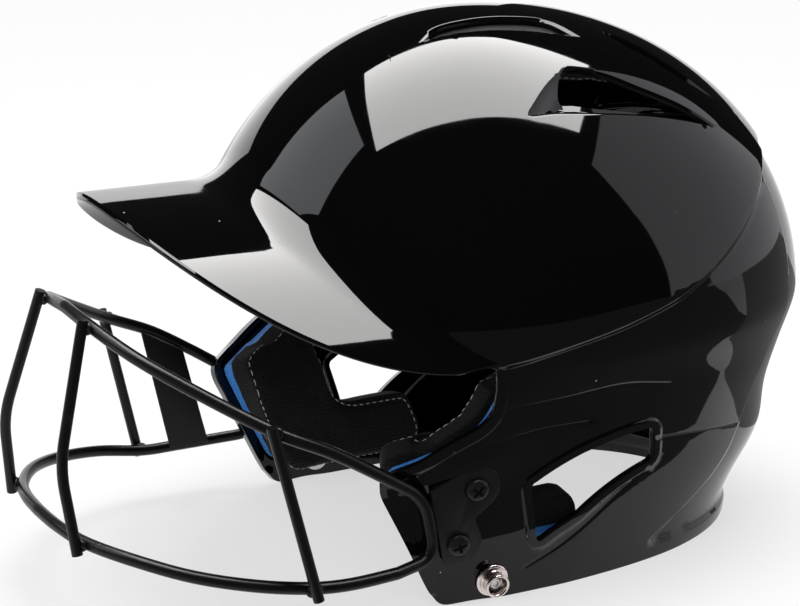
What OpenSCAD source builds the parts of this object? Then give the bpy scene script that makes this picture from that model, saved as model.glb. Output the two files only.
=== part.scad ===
// Softball batting helmet with a wire face guard, shown resting on its lower rim.
// Millimetres. +X is the wearer's left, +Y the back of the head, +Z up.
// The origin lies under the middle of the whole helmet, on the surface it rests on.

/* [Dome] */
// Half-width of the dome at its widest section
dome_half_w = 100.5; // [94:0.5:106]
// Height of the widest section
belt_z = 91; // [84:1:98]
// Height of the crown
crown_z = 208.5; // [195:0.5:222]
// Middle of the dome's sections, back from the origin
dome_mid_y = 24; // [20:1:28]
// Reach of the dome forward of its middle
front_reach = 114; // [108:0.5:120]
// Reach of the dome behind its middle
rear_reach = 138; // [130:0.5:144]
// Thickness of the moulded wall
wall = 3; // [2.4:0.1:4]

/* [Lower shell] */
// Half-width at the lower rim
rim_half_w = 75.5; // [72:0.5:78]
// Half-width at jaw height
jaw_half_w = 79; // [77:0.5:81]
// Half-width at ear height
ear_half_w = 86; // [84:0.5:88]
// Half-width at the temples
temple_half_w = 90.5; // [89:0.5:92]
// Rear of the lower rim, back from the origin
rim_rear_y = 137; // [132:0.5:141]
// Reach of the lower shell forward of its middle
jaw_reach = 115; // [110:0.5:120]
// Step from the dome in to the lower band
band_step = 2.5; // [1:0.1:3.5]
// Height of the sloped face of that step
step_h = 2.4; // [1.2:0.2:4]

/* [Bill] */
// Height of the bill's ridge
bill_z = 150; // [145:0.5:155]
// Height where the bill ends at the eye corner
eye_z = 95; // [92:0.5:98]
// Eye corner, back from the origin
eye_y = -17; // [-20:0.5:-14]
// Half-width of the bill at the eye corner
bill_half_w = 93; // [91:0.5:96]
// How far the bill stands forward of the eye corner
bill_len = 115; // [108:0.5:122]
// Thickness of the bill
bill_t = 3; // [2.4:0.1:4]

/* [Flap openings] */
// Front corner of the cheek flap at the rim, back from the origin
flap_toe_y = -33; // [-36:0.5:-30]
// Foremost corner of the cheek flap, back from the origin
flap_tip_y = -56; // [-59:0.5:-53]
// Height of that foremost corner
flap_tip_z = 54; // [51:0.5:57]
// Corner radius of the ear hole
ear_hole_r = 3; // [1.5:0.5:4]
// Half-width of the ponytail port at its foot
port_half_w = 46; // [40:1:50]
// Lowest edge of the ponytail port
port_low_z = 15; // [12:1:18]
// Highest edge of the ponytail port
port_high_z = 58; // [52:1:62]
// Corner radius of the ponytail port
port_r = 7; // [3:0.5:10]

/* [Vents] */
// Width of the crown slots at the middle
crown_slot_w = 9; // [5:0.5:11]
// Width of the long slots behind the crown slots
rear_slit_w = 3.5; // [2:0.5:5]
// Corner radius of the side vents
side_vent_r = 1.5; // [1:0.25:2.5]

/* [Face guard] */
// Wire diameter of the two rails
rail_d = 4.6; // [4:0.1:5.4]
// Wire diameter of the upright bars
bar_d = 4.1; // [3.6:0.1:4.8]
// How far an upright runs past each rail
bar_over = 3; // [1:0.5:4]
// Gap that the weld fills between two wires
weld_gap = 0.05; // [0.02:0.01:0.2]
// Clearance between the guard's wire and the cheek flap
wire_gap = 0.1; // [0.05:0.05:0.5]
// Thickness of the mounting plates
plate_t = 1.8; // [1.4:0.1:2.2]
// Radius of the two lobes of a mounting plate
lobe_r = 9; // [7.5:0.5:9.5]
// Thickness of the blank label plate
label_t = 1.2; // [0.8:0.1:1.6]

/* [Fasteners] */
// Distance between the two screws of a mounting plate
screw_pitch = 23; // [21:0.5:25]
// Diameter of a screw shank
screw_d = 4; // [3.5:0.1:4.5]
// Diameter of a screw head
screw_head_d = 8.8; // [8:0.1:9.6]
// Height of a screw head
screw_head_h = 2.6; // [2:0.1:3]
// Clearance round a screw in the holes it passes
hole_gap = 0.4; // [0.2:0.05:0.8]
// Thickness of the rubber washers under a mounting plate
washer_t = 1; // [0.6:0.1:1.2]
// Diameter of the washers and of the nut flanges
nut_d = 12; // [10:0.5:13]
// Thickness of a nut flange
nut_t = 1.2; // [0.8:0.1:1.6]
// Diameter of the snap's stud
stud_d = 9.5; // [9:0.1:10]
// Height of the snap's stud above its flange
stud_h = 4.6; // [3.5:0.1:5.5]
// Diameter of the snap's flange
snap_flange_d = 13; // [12:0.5:14]
// Thickness of the snap's flange
snap_flange_t = 1.4; // [1:0.1:2]
// Diameter of the snap's rivet
rivet_d = 4.4; // [3.6:0.1:5]

/* [Padding] */
// Thickness of the blue foam against the cheek flaps
foam_t = 6; // [4:0.5:7]
// Thickness of the fabric-faced ear pads
ear_pad_t = 11; // [8:0.5:13]
// Thickness of the pads inside the dome
dome_pad_t = 13; // [9:0.5:15]
// Gap between a pad and what it is glued to
glue_gap = 0.6; // [0.5:0.05:0.8]
// Gap round a fastener that a pad makes room for
room = 1.2; // [0.8:0.1:2]

/* [Hidden] */
$fn = 32;

crown_power = 2.04;
rear_power = 2.2;
front_power = 2;
jaw_power = 2.6;
bill_power = 2.1;
temple_z = 75;
ear_z = 54;
jaw_z = 20;
columns = 60;
far = 300;
gloss_black = "#15171a";
satin_black = "#222427";
knit_black = "#2b2d31";
foam_blue = "#3c86cf";
steel = "#c9ccd1";
ridge_points = [[0, 160], [39, 152.6], [50, 141.3], [69, 119], [75, 112.3],
    [86, 105.6], [100, 99.9], [111, eye_z], [180, eye_z - 4]];

function spow(v, e) = sign(v) * pow(abs(v), e);
function unit(v) = v / norm(v);
function mix(a, b, t) = a + (b - a) * t;

// How much narrower the dome is at height z than at its widest, for a wall sunk in by inset.
function dome_share(z, inset) =
    sqrt(max(0, 1 - pow(max(0, z - belt_z) / (crown_z - inset - belt_z), crown_power)));

// One section: [half-width, front reach, rear reach, middle, front power].
function dome_section(z, inset) =
    let (s = dome_share(z, inset))
    [(dome_half_w - inset) * s, (front_reach - inset) * s, (rear_reach - inset) * s,
        dome_mid_y, front_power];
function band_section(z, inset) =
    let (top = dome_section(max(z, eye_z), inset + band_step),
        fall = max(0, eye_z - z) / eye_z,
        middle = dome_mid_y - 10 * fall,
        rear = dome_mid_y + top[2])
    z >= eye_z ? top : [
        lookup(z, [[0, rim_half_w - inset], [jaw_z, jaw_half_w - inset],
            [ear_z, ear_half_w - inset], [temple_z, temple_half_w - inset],
            [eye_z, top[0]]]),
        lookup(z, [[temple_z, jaw_reach], [eye_z, top[1] + inset]]) - inset,
        lookup(z, [[0, rim_rear_y - inset], [jaw_z, mix(rim_rear_y - inset, rear, 0.2)],
            [ear_z, mix(rim_rear_y - inset, rear, 0.65)],
            [temple_z, mix(rim_rear_y - inset, rear, 0.9)], [eye_z, rear]]) - middle,
        middle,
        mix(front_power, jaw_power, min(1, (eye_z - z) / 35))];

// A point of a section at angle a, turned from the rear towards the wearer's left.
function on_section(s, a, z) =
    let (p = cos(a) > 0 ? rear_power : s[4], reach = cos(a) > 0 ? s[2] : s[1])
    [s[0] * spow(sin(a), 2 / p), s[3] + reach * spow(cos(a), 2 / p), z];

// Half-width of the lower shell at a given place, which seats the ear pads and fasteners.
function side_x(y, z, inset) =
    let (s = band_section(z, inset), reach = y > s[3] ? s[2] : s[1],
        p = y > s[3] ? rear_power : s[4])
    s[0] * pow(max(0, 1 - pow(abs(y - s[3]) / reach, p)), 1 / p);

function turned(a) = abs(a > 180 ? 360 - a : a);
function ridge_z(a) = lookup(turned(a), ridge_points);

// Faces between rings of n points, closed by a fan at each end.
function skin_faces(rings, n) = concat(
    [for (r = [0 : rings - 2]) for (k = [0 : n - 1])
        let (a = r * n + k, b = r * n + (k + 1) % n) each [[a, b, b + n], [a, b + n, a + n]]],
    [[for (k = [n - 1 : -1 : 0]) k]],
    [[for (k = [0 : n - 1]) (rings - 1) * n + k]]);

// The dome and lower band in one closed body, sunk in by inset and begun at height start.
module body(inset, start, lower_rows, upper_rows) {
    a = [for (k = [0 : columns - 1]) k * 360 / columns];
    low = [for (r = [0 : lower_rows]) [for (t = a)
        let (top = ridge_z(t) - step_h / 2, z = r == 0 ? 0 : top * r / lower_rows,
            p = on_section(band_section(z, inset), t, z))
        [p[0], p[1], r == 0 ? start : z]]];
    high = [for (r = [0 : upper_rows - 1]) [for (t = a)
        let (foot = ridge_z(t) + step_h / 2,
            z = foot + (crown_z - inset - foot) * sin(90 * r / upper_rows))
        on_section(dome_section(z, inset), t, z)]];
    tip = [for (t = a) on_section([2, 2, 2, dome_mid_y, 2], t, crown_z - inset)];
    rings = concat(low, high, [tip]);
    polyhedron(points = [for (ring = rings) each ring],
        faces = skin_faces(len(rings), columns), convexity = 6);
}

function arch_z(x, drop) = bill_z - drop - (bill_z - eye_z) * x * x / (bill_half_w * bill_half_w);

// The bill: an arched sheet trimmed to its plan outline.
module bill() {
    across = [for (k = [-14 : 14]) bill_half_w * k / 14];
    slope = 2 * (bill_z - eye_z) / (bill_half_w * bill_half_w);
    intersection() {
        translate([0, eye_y, 0]) rotate([90, 0, 0]) linear_extrude(bill_len + 1)
            polygon(concat([for (x = across) [x, arch_z(x, 0)]],
                [for (k = [14 : -1 : -14]) let (x = bill_half_w * k / 14)
                    [x, arch_z(x, bill_t * sqrt(1 + pow(slope * x, 2)))]]));
        linear_extrude(far) polygon([for (a = [-90 : 7.5 : 90])
            [bill_half_w * spow(sin(a), 2 / bill_power),
                eye_y - bill_len * pow(cos(a), 2 / bill_power)]]);
    }
}

// An outline with round corners, grown by r round its corner points.
module rounded_outline(corners, r) {
    for (k = [0 : len(corners) - 3])
        hull() for (c = [corners[0], corners[k + 1], corners[k + 2]])
            translate(c) circle(r = r, $fn = 12);
}

// A cut right through both sides, its corners given as [y, z].
module side_cut(corners, r) {
    rotate([90, 0, 90]) translate([0, 0, -far / 2]) linear_extrude(far)
        rounded_outline(corners, r);
}

// A cut down through the top on both sides, its corners given as [x, y].
module top_cut(corners, r) {
    for (side = [0, 1]) mirror([side, 0, 0])
        translate([0, 0, belt_z + 30]) linear_extrude(far) rounded_outline(corners, r);
}

// The eye opening: all of the front below the bill and ahead of the cheek flaps.
module face_cut() {
    across = [for (k = [-14 : 14]) (bill_half_w + 2) * k / 14];
    intersection() {
        translate([-far / 2, 0, 0]) rotate([90, 0, 90]) linear_extrude(far)
            polygon([[-far, -far], [flap_toe_y + 7, -far], [flap_toe_y + 7, -1],
                [flap_toe_y, 6], [flap_tip_y, flap_tip_z - 3], [flap_tip_y + 2, flap_tip_z + 3],
                [flap_tip_y + 9, flap_tip_z + 3], [eye_y - 2, temple_z],
                [eye_y + 1, temple_z + 4], [eye_y, eye_z], [eye_y, far], [-far, far]]);
        translate([0, far / 2, 0]) rotate([90, 0, 0]) linear_extrude(far)
            polygon(concat([[-far / 2, -far]],
                [for (x = across) [x, arch_z(x, bill_t / 2)]],
                [[far / 2, -far]]));
    }
}

// Front edge of the cheek flap by height.
function flap_front(z) = lookup(z, [[0, flap_toe_y + 5], [6, flap_toe_y],
    [flap_tip_z, flap_tip_y], [flap_tip_z + 3, flap_tip_y + 8], [temple_z, eye_y - 3],
    [temple_z + 5, eye_y], [eye_z, eye_y]]);

// Places a part on a cheek flap: its own +Z points out of the flap, +X to the rear, +Y up.
mask_normal = unit([1, -0.18, -0.18]);
mask_z = 37.9;
mask_y = flap_front(mask_z) + 24;
mask_out = rail_d / 2 + wire_gap;
mask_seat = [side_x(mask_y, mask_z, 0) + mask_out, mask_y, mask_z];
snap_normal = unit([1, -0.08, -0.14]);
snap_z = 8.5;
snap_y = flap_front(snap_z) + 24;
snap_seat = [side_x(snap_y, snap_z, 0) + 0.25, snap_y, snap_z];
function back_of(normal) = unit([-normal[1], normal[0], 0]);
function up_of(normal) = cross(normal, back_of(normal));
module seated(side, place, normal) {
    back = back_of(normal);
    up = up_of(normal);
    mirror([side < 0 ? 1 : 0, 0, 0])
        multmatrix([[back[0], up[0], normal[0], place[0]],
            [back[1], up[1], normal[1], place[1]],
            [back[2], up[2], normal[2], place[2]], [0, 0, 0, 1]])
            children();
}

screw_lean = 14;
module at_screws(side) {
    for (end = [-1, 1]) seated(side, mask_seat, mask_normal)
        rotate([0, 0, -screw_lean]) translate([0, end * screw_pitch / 2, 0]) children();
}

module bore(d, low, high) {
    translate([0, 0, low]) cylinder(d = d, h = high - low);
}

module shell() {
    color(gloss_black) difference() {
        union() {
            difference() {
                body(0, 0, 10, 10);
                face_cut();
            }
            bill();
        }
        body(wall, -1, 10, 10);
        side_cut([[4, 45], [46, 59], [47, 50], [8, 23]], ear_hole_r);
        side_cut([[12, 178], [34, 189], [58, 184], [97, 163.5], [62, 172]], side_vent_r);
        top_cut([[21, -10], [21, 19], [25, 41], [34, 46], [21 + crown_slot_w * 1.3, 30],
            [21 + crown_slot_w * 0.7, 10]], 1);
        top_cut([[31, 64], [44, 101], [48, 117], [47 + rear_slit_w, 117],
            [43 + rear_slit_w, 101], [31 + rear_slit_w, 68]], 0.5);
        hull() for (c = [[-1, port_low_z, 0], [1, port_low_z, 0], [-1, port_high_z, 8],
            [1, port_high_z, 8]])
            translate([c[0] * (port_half_w - c[2] - port_r), far,
                c[1] + (c[2] > 0 ? -port_r : port_r)])
                rotate([90, 0, 0]) cylinder(r = port_r, h = far - 90, $fn = 24);
        for (side = [-1, 1]) {
            at_screws(side) bore(screw_d + 2 * hole_gap, -14, 4);
            seated(side, snap_seat, snap_normal) bore(rivet_d + 2 * hole_gap, -9, 4);
        }
    }
}

// A pad between two angles and two heights of the dome, crowned towards the head.
// u and v run from -1 to 1 over the pad, and the corners are drawn in.
function pad_u(u, v) = u * sqrt(1 - v * v * 0.22);
function crown_of(u, v) = 0.45 + 0.55 * sqrt(max(0, (1 - pow(u, 4)) * (1 - pow(v, 4))));
pad_cells = 12;

module sheet(outer, inner) {
    n = pad_cells + 1;
    lattice = [for (i = [0 : pad_cells]) for (j = [0 : pad_cells]) [i, j]];
    points = concat([for (c = lattice) outer(-1 + 2 * c[0] / pad_cells, -1 + 2 * c[1] / pad_cells)],
        [for (c = lattice) inner(-1 + 2 * c[0] / pad_cells, -1 + 2 * c[1] / pad_cells)]);
    cell = [for (i = [0 : pad_cells - 1]) for (j = [0 : pad_cells - 1]) i * n + j];
    rim = concat([for (j = [0 : pad_cells - 1]) j], [for (i = [0 : pad_cells - 1]) i * n + pad_cells],
        [for (j = [pad_cells : -1 : 1]) pad_cells * n + j], [for (i = [pad_cells : -1 : 1]) i * n]);
    count = len(rim);
    polyhedron(points = points, convexity = 6, faces = concat(
        [for (c = cell) each [[c, c + n + 1, c + 1], [c, c + n, c + n + 1]]],
        [for (c = cell) let (b = c + n * n) each [[b, b + 1, b + n + 1], [b, b + n + 1, b + n]]],
        [for (k = [0 : count - 1]) let (a = rim[k], b = rim[(k + 1) % count])
            each [[a, b, b + n * n], [a, b + n * n, a + n * n]]]));
}

// The dome pads follow the wall by the angle and by the height. Below the ridge they sink
// by the step too.
function dome_place(a, z, inset) = on_section(dome_section(z, inset), a, z);
module dome_pad(a0, a1, z0, z1, sink) {
    seat = wall + glue_gap + sink;
    place = function (u, v, inset)
        dome_place(mix(a0, a1, (pad_u(u, v) + 1) / 2), mix(z0, z1, (pad_u(v, u) + 1) / 2), inset);
    color(knit_black) sheet(function (u, v) place(u, v, seat),
        function (u, v) place(u, v, seat + dome_pad_t * crown_of(u, v)));
}

module brow_pad() {
    dome_pad(140, 220, bill_z + 2, bill_z + 27, 0);
}
under_ridge = band_step + 0.4;
module side_pad(side) {
    mirror([side < 0 ? 1 : 0, 0, 0]) dome_pad(64, 116, eye_z + 14, eye_z + 54, under_ridge);
}
module rear_pad(side) {
    mirror([side < 0 ? 1 : 0, 0, 0]) dome_pad(8, 56, eye_z + 7, eye_z + 51, under_ridge);
}

// The crown pad is round in plan and lies under the top of the dome.
module crown_pad() {
    seat = wall + glue_gap;
    low_z = crown_z - 18;
    place = function (u, v, inset)
        let (r = max(abs(u), abs(v)), a = atan2(u, v),
            z = mix(crown_z - inset, low_z - 0.8 * (inset - seat), pow(r, 1.7)))
        r == 0 ? [0, dome_mid_y, crown_z - inset] : on_section(dome_section(z, inset), a, z);
    color(knit_black) sheet(function (u, v) place(-u, v, seat),
        function (u, v) place(-u, v, seat + dome_pad_t * crown_of(u, v)));
}

// The cheek flaps' linings follow the flap's own outline, given by height.
lining_z0 = 4;
lining_z1 = 84;
lining_rear = 64;
module flap_lining(side, seat, thick, edge, crowned) {
    place = function (u, v, inset)
        let (z = mix(lining_z0, lining_z1, (v + 1) / 2),
            y = mix(flap_front(z) + edge, lining_rear - 0.12 * abs(z - 40), (pad_u(u, v) + 1) / 2))
        [side_x(y, z, inset), y, z];
    mirror([side < 0 ? 1 : 0, 0, 0]) sheet(function (u, v) place(-u, v, seat),
        function (u, v) place(-u, v, seat + thick * (crowned ? crown_of(u, v) : 1)));
}
module ear_port(side, grow) {
    mirror([side < 0 ? 1 : 0, 0, 0]) hull()
        for (c = [[16, 42], [44, 54], [46, 47], [17, 27]])
            translate([40, c[0], c[1]]) rotate([0, 90, 0])
                cylinder(r = ear_hole_r + grow, h = far / 2, $fn = 24);
}

module ear_foam(side) {
    color(foam_blue) difference() {
        flap_lining(side, wall + glue_gap, foam_t, 4, false);
        ear_port(side, 2);
        at_screws(side) bore(nut_d + 2 * room, -16, 4);
        seated(side, snap_seat, snap_normal) bore(nut_d + 2 * room, -12, 4);
    }
}
module ear_pad(side) {
    color(knit_black) difference() {
        flap_lining(side, wall + 2 * glue_gap + foam_t, ear_pad_t, 5.5, true);
        ear_port(side, 0);
    }
}

// Half of the face guard's loop, from the middle of the top rail to the middle of the lower one.
// Each point is [percent of the half-width, way behind the screws, height].
mask_half_w = mask_seat[0] + 0.9;
function on_mask(p) = [p[0] * mask_half_w / 100, p[1] + mask_y, p[2]];
top_rail = [for (p = [[0, -118.7, 111], [26.3, -116.7, 108.5], [54, -108.2, 101.5],
    [75.5, -91.7, 91], [93.5, -72.7, 80], [99.4, -53.7, 71], [100, -35.7, 60]]) on_mask(p)];
top_corner = on_mask([97.7, -16.7, 47.5]);
low_corner = on_mask([93.6, -10.2, 22.5]);
low_rail = [for (p = [[98.2, -27.7, 21], [98.8, -45.7, 20.7], [97, -60.7, 21.5], [94, -80.7, 25.3],
    [82.6, -100.2, 29], [63.5, -116.2, 32.5], [40.7, -126.7, 34.2], [20.4, -131, 35.5],
    [0, -132.2, 36]]) on_mask(p)];
corner_run = 9;

// A smooth run through a list of points, a few steps to each span.
function spline(p, steps) = [for (k = [0 : len(p) - 2]) for (s = [0 : steps - 1])
    let (t = s / steps, a = p[max(k - 1, 0)], b = p[k], c = p[k + 1], d = p[min(k + 2, len(p) - 1)])
    0.5 * (2 * b + (c - a) * t + (2 * a - 5 * b + 4 * c - d) * t * t
        + (3 * b - a - 3 * c + d) * t * t * t)];
function rounded(v, from, to, steps) =
    let (a = v + corner_run * unit(from - v), b = v + corner_run * unit(to - v))
    [for (s = [0 : steps]) let (t = s / steps)
        (1 - t) * (1 - t) * a + 2 * t * (1 - t) * v + t * t * b];
last_top = top_rail[len(top_rail) - 1];
half_loop = concat(spline(top_rail, 4), [last_top],
    rounded(top_corner, last_top, low_corner, 5),
    rounded(low_corner, top_corner, low_rail[0], 5), spline(low_rail, 3),
    [low_rail[len(low_rail) - 1]]);
loop_path = concat(half_loop,
    [for (k = [len(half_loop) - 2 : -1 : 1]) [-half_loop[k][0], half_loop[k][1], half_loop[k][2]]]);

// A bent wire along a path, closed on itself or with flat ends.
module bent_wire(path, d, closed) {
    sides = 10;
    n = len(path);
    last = n - 1;
    rings = [for (k = [0 : last])
        let (before = path[closed ? (k + last) % n : max(k - 1, 0)],
            after = path[closed ? (k + 1) % n : min(k + 1, last)],
            t = unit(after - before), out = unit([path[k][0], path[k][1] + 20, 0]),
            e = unit(out - (out * t) * t), f = cross(t, e))
        [for (s = [0 : sides - 1])
            path[k] + d / 2 * (cos(360 * s / sides) * e + sin(360 * s / sides) * f)]];
    skin = [for (k = [0 : closed ? last : last - 1]) for (s = [0 : sides - 1])
        let (a = k * sides, b = ((k + 1) % n) * sides, q = (s + 1) % sides)
        each [[a + s, b + q, a + q], [a + s, b + s, b + q]]];
    ends = [[for (s = [0 : sides - 1]) s], [for (s = [sides - 1 : -1 : 0]) last * sides + s]];
    polyhedron(points = [for (ring = rings) each ring], faces = concat(skin, closed ? [] : ends),
        convexity = 8);
}

module mask_loop() {
    color(satin_black) bent_wire(loop_path, rail_d, true);
}

// A straight wire between two points.
module wire(p, q, d) {
    v = q - p;
    translate(p) rotate([0, acos(v[2] / norm(v)), atan2(v[1], v[0])])
        cylinder(d = d, h = norm(v), $fn = 24);
}

// The uprights are welded to the front of the rails.
stand_off = (rail_d + bar_d) / 2 + weld_gap;
function off_rail(p, out) = p + stand_off * unit(out);
center_top = off_rail(top_rail[1], [0.22, -1, 0.1]);
center_low = off_rail(low_rail[6], [0.4, -1, -0.1]);
center_bend = on_mask([37.4, -133.8, 62.6]);
side_top = off_rail(top_rail[4], [1, -0.6, 0.1]);
side_low = off_rail(low_rail[2], [1, -0.1, -0.05]);
function past(p, q) = p + bar_over * unit(p - q);

module mask_bar_center(side) {
    color(satin_black) mirror([side < 0 ? 1 : 0, 0, 0])
        bent_wire(concat([past(center_top, center_bend)],
            rounded(center_bend, center_top, center_low, 5), [past(center_low, center_bend)]),
            bar_d, false);
}
module mask_bar_side(side) {
    color(satin_black) mirror([side < 0 ? 1 : 0, 0, 0])
        wire(past(side_top, side_low), past(side_low, side_top), bar_d);
}

// A blank plate welded behind the rails on the wearer's right, leaning as they do.
label_gap = 0.35;
label_foot = low_rail[1] - [rail_d / 2 + label_gap, 0, 0];
label_lean = atan2(top_rail[5][0] - low_rail[1][0], top_rail[5][2] - low_rail[1][2]);
module mask_label_plate() {
    color(satin_black) mirror([1, 0, 0]) translate([label_foot[0], mask_y, label_foot[2]])
        rotate([0, label_lean, 0]) translate([-label_t, 0, 0]) rotate([90, 0, 90])
            linear_extrude(label_t) polygon([[-60, 52], [-42, 41.5], [-32, 0.5], [-49, 0.5]]);
}

// The mounting plate: two lobes round the screws and a straight front edge along the wire.
flap_level = -mask_out * mask_normal[0];
plate_low = flap_level + washer_t + 0.15;
function on_plate(p) = [(p - mask_seat) * back_of(mask_normal), (p - mask_seat) * up_of(mask_normal)];
module plate_outline() {
    low = on_plate(low_corner);
    run = on_plate(top_corner) - low;
    difference() {
        for (end = [-1, 1]) hull() {
            rotate(-screw_lean) translate([0, end * screw_pitch / 2]) circle(r = lobe_r);
            translate([-3, 0]) circle(r = 5);
            translate(low + run * (end > 0 ? 1 : 0.15)) circle(r = 1);
            translate(low + run * 0.6) circle(r = 1);
        }
        translate(low) rotate(atan2(run[1], run[0]))
            translate([-norm(run), -rail_d / 2 - weld_gap]) square([3 * norm(run), norm(run)]);
    }
}
module mask_plate(side) {
    color(satin_black) difference() {
        seated(side, mask_seat, mask_normal) translate([0, 0, plate_low])
            linear_extrude(plate_t) plate_outline();
        at_screws(side) bore(screw_d + 2 * hole_gap, plate_low - 1, 1);
    }
}

// Each screw has a domed head with a cross recess, and its shank ends inside the nut.
module mask_screws(side) {
    top = plate_low + plate_t + 0.05;
    color(satin_black) at_screws(side) difference() {
        union() {
            intersection() {
                bore(screw_head_d, top, top + screw_head_h);
                translate([0, 0, top + screw_head_h - screw_head_d])
                    sphere(r = screw_head_d);
            }
            bore(screw_d, nut_depth - nut_t - 1, top + 0.4);
        }
        for (turn = [0, 90]) rotate([0, 0, turn])
            translate([-2.6, -0.55, top + 1]) cube([5.2, 1.1, screw_head_h]);
    }
}
module mask_washers(side) {
    color(satin_black) at_screws(side) difference() {
        bore(nut_d, plate_low - 0.05 - washer_t, plate_low - 0.05);
        bore(screw_d + 2 * hole_gap, plate_low - 3, plate_low + 1);
    }
}
nut_depth = flap_level - wall - 0.35;
module mask_nuts(side) {
    color(steel) at_screws(side) difference() {
        bore(nut_d, nut_depth - nut_t, nut_depth);
        bore(screw_d + 0.1, nut_depth - nut_t - 1, nut_depth + 1);
    }
}

// The snap: a flange, a hollow stud with a rolled lip, and a rivet through the flap.
module chin_snap(side) {
    color(steel) seated(side, snap_seat, snap_normal) difference() {
        union() {
            bore(snap_flange_d, 0, snap_flange_t);
            bore(stud_d, snap_flange_t - 0.2, snap_flange_t + stud_h);
        }
        bore(stud_d - 3.2, snap_flange_t + 1.2, snap_flange_t + stud_h + 1);
        bore(rivet_d + 0.1, -1, snap_flange_t + 2);
    }
}
rivet_depth = -wall - 0.6;
module snap_rivet(side) {
    color(steel) seated(side, snap_seat, snap_normal) union() {
        bore(rivet_d, rivet_depth, snap_flange_t + 2.4);
        bore(nut_d, rivet_depth - nut_t, rivet_depth);
    }
}

shell();
brow_pad();
crown_pad();
rear_pad(1);  // rear_pad_left
rear_pad(-1);  // rear_pad_right
side_pad(1);  // side_pad_left
side_pad(-1);  // side_pad_right
ear_foam(1);  // ear_foam_left
ear_foam(-1);  // ear_foam_right
ear_pad(1);  // ear_pad_left
ear_pad(-1);  // ear_pad_right
mask_loop();
mask_bar_center(1);  // mask_bar_center_left
mask_bar_center(-1);  // mask_bar_center_right
mask_bar_side(1);  // mask_bar_side_left
mask_bar_side(-1);  // mask_bar_side_right
mask_label_plate();
mask_plate(1);  // mask_plate_left
mask_plate(-1);  // mask_plate_right
mask_screws(1);  // mask_screws_left
mask_screws(-1);  // mask_screws_right
mask_washers(1);  // mask_washers_left
mask_washers(-1);  // mask_washers_right
mask_nuts(1);  // mask_nuts_left
mask_nuts(-1);  // mask_nuts_right
chin_snap(1);  // chin_snap_left
chin_snap(-1);  // chin_snap_right
snap_rivet(1);  // snap_rivet_left
snap_rivet(-1);  // snap_rivet_right
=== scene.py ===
# %% [markdown]
# A softball batting helmet with a wire face guard, resting on its lower rim.
# The imported model holds every piece at its real size. This file dresses those pieces:
# a gloss shell, coated wire, knit pads, chromed snaps. We load the frame first. The
# dressed helmet has to stay inside it.

# %% Load the frame
import math
import bpy
import numpy as np
from mathutils import Matrix, Vector, geometry, kdtree
from mathutils.bvhtree import BVHTree


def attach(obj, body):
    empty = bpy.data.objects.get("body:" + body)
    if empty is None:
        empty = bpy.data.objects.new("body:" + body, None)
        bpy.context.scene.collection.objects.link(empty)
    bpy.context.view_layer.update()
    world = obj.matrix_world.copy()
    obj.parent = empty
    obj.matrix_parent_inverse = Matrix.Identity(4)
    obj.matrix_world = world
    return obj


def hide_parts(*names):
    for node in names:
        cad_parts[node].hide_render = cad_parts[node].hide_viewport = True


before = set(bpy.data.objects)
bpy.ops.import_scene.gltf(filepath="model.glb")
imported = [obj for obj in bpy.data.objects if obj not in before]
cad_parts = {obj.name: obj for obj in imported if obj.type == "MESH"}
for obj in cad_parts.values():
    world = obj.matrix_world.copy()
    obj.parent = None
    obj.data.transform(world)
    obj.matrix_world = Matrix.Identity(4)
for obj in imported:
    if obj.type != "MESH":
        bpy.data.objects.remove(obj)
bpy.context.view_layer.update()
scene = bpy.context.scene

# %% [markdown]
# Operators act on whatever is selected, and the loaded nodes start out selected. So we clear
# the selection before every piece. Lengths are easier to read in millimetres, so one value
# turns them into the metres that every object is made in.

# %% Small helpers
MM = 0.001


def nothing_selected():
    bpy.ops.object.select_all(action="DESELECT")


def only(piece):
    """Select one piece and make it the active one."""
    nothing_selected()
    piece.select_set(True)
    bpy.context.view_layer.objects.active = piece


def apply_all(piece):
    """Apply a piece's modifiers from the first to the last."""
    only(piece)
    for modifier in list(piece.modifiers):
        bpy.ops.object.modifier_apply(modifier=modifier.name)


def new_piece(name, points, faces, links=()):
    """A new object from points in metres."""
    mesh = bpy.data.meshes.new(name)
    mesh.from_pydata(points, links, faces)
    piece = bpy.data.objects.new(name, mesh)
    scene.collection.objects.link(piece)
    return piece


def copy_of(piece, name):
    """The same piece again, with a mesh of its own."""
    copy = piece.copy()
    copy.data = piece.data.copy()
    copy.name = copy.data.name = name
    scene.collection.objects.link(copy)
    return copy


def points_of(piece):
    """A piece's points in metres, one to a row."""
    co = np.zeros(len(piece.data.vertices) * 3, np.float32)
    piece.data.vertices.foreach_get("co", co)
    return co.reshape(-1, 3)


def move_points(piece, points):
    piece.data.vertices.foreach_set("co", points.astype(np.float32).ravel())
    piece.data.update()


def bevelled(piece, name, width, segments, angle):
    """Add a bevel, its width in millimetres, on every edge sharper than an angle."""
    edge = piece.modifiers.new(name, "BEVEL")
    edge.width, edge.segments = width * MM, segments
    edge.limit_method, edge.angle_limit = "ANGLE", math.radians(angle)


def smooth_below(angle):
    """Shade the active piece smooth, but for edges sharper than an angle."""
    bpy.ops.object.shade_smooth_by_angle(angle=math.radians(angle))


def faces_outwards(merge=None):
    """In edit mode, merge doubled points if asked and turn all faces outwards."""
    bpy.ops.object.mode_set(mode="EDIT")
    bpy.ops.mesh.select_all(action="SELECT")
    if merge:
        bpy.ops.mesh.remove_doubles(threshold=merge)
    bpy.ops.mesh.normals_make_consistent(inside=False)
    bpy.ops.object.mode_set(mode="OBJECT")


def turns_left(line):
    """Whether a closed line of plane points runs to the left round its middle."""
    ahead = np.roll(line, -1, 0)
    return np.sum(line[:, 0] * ahead[:, 1] - ahead[:, 0] * line[:, 1]) > 0


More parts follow.
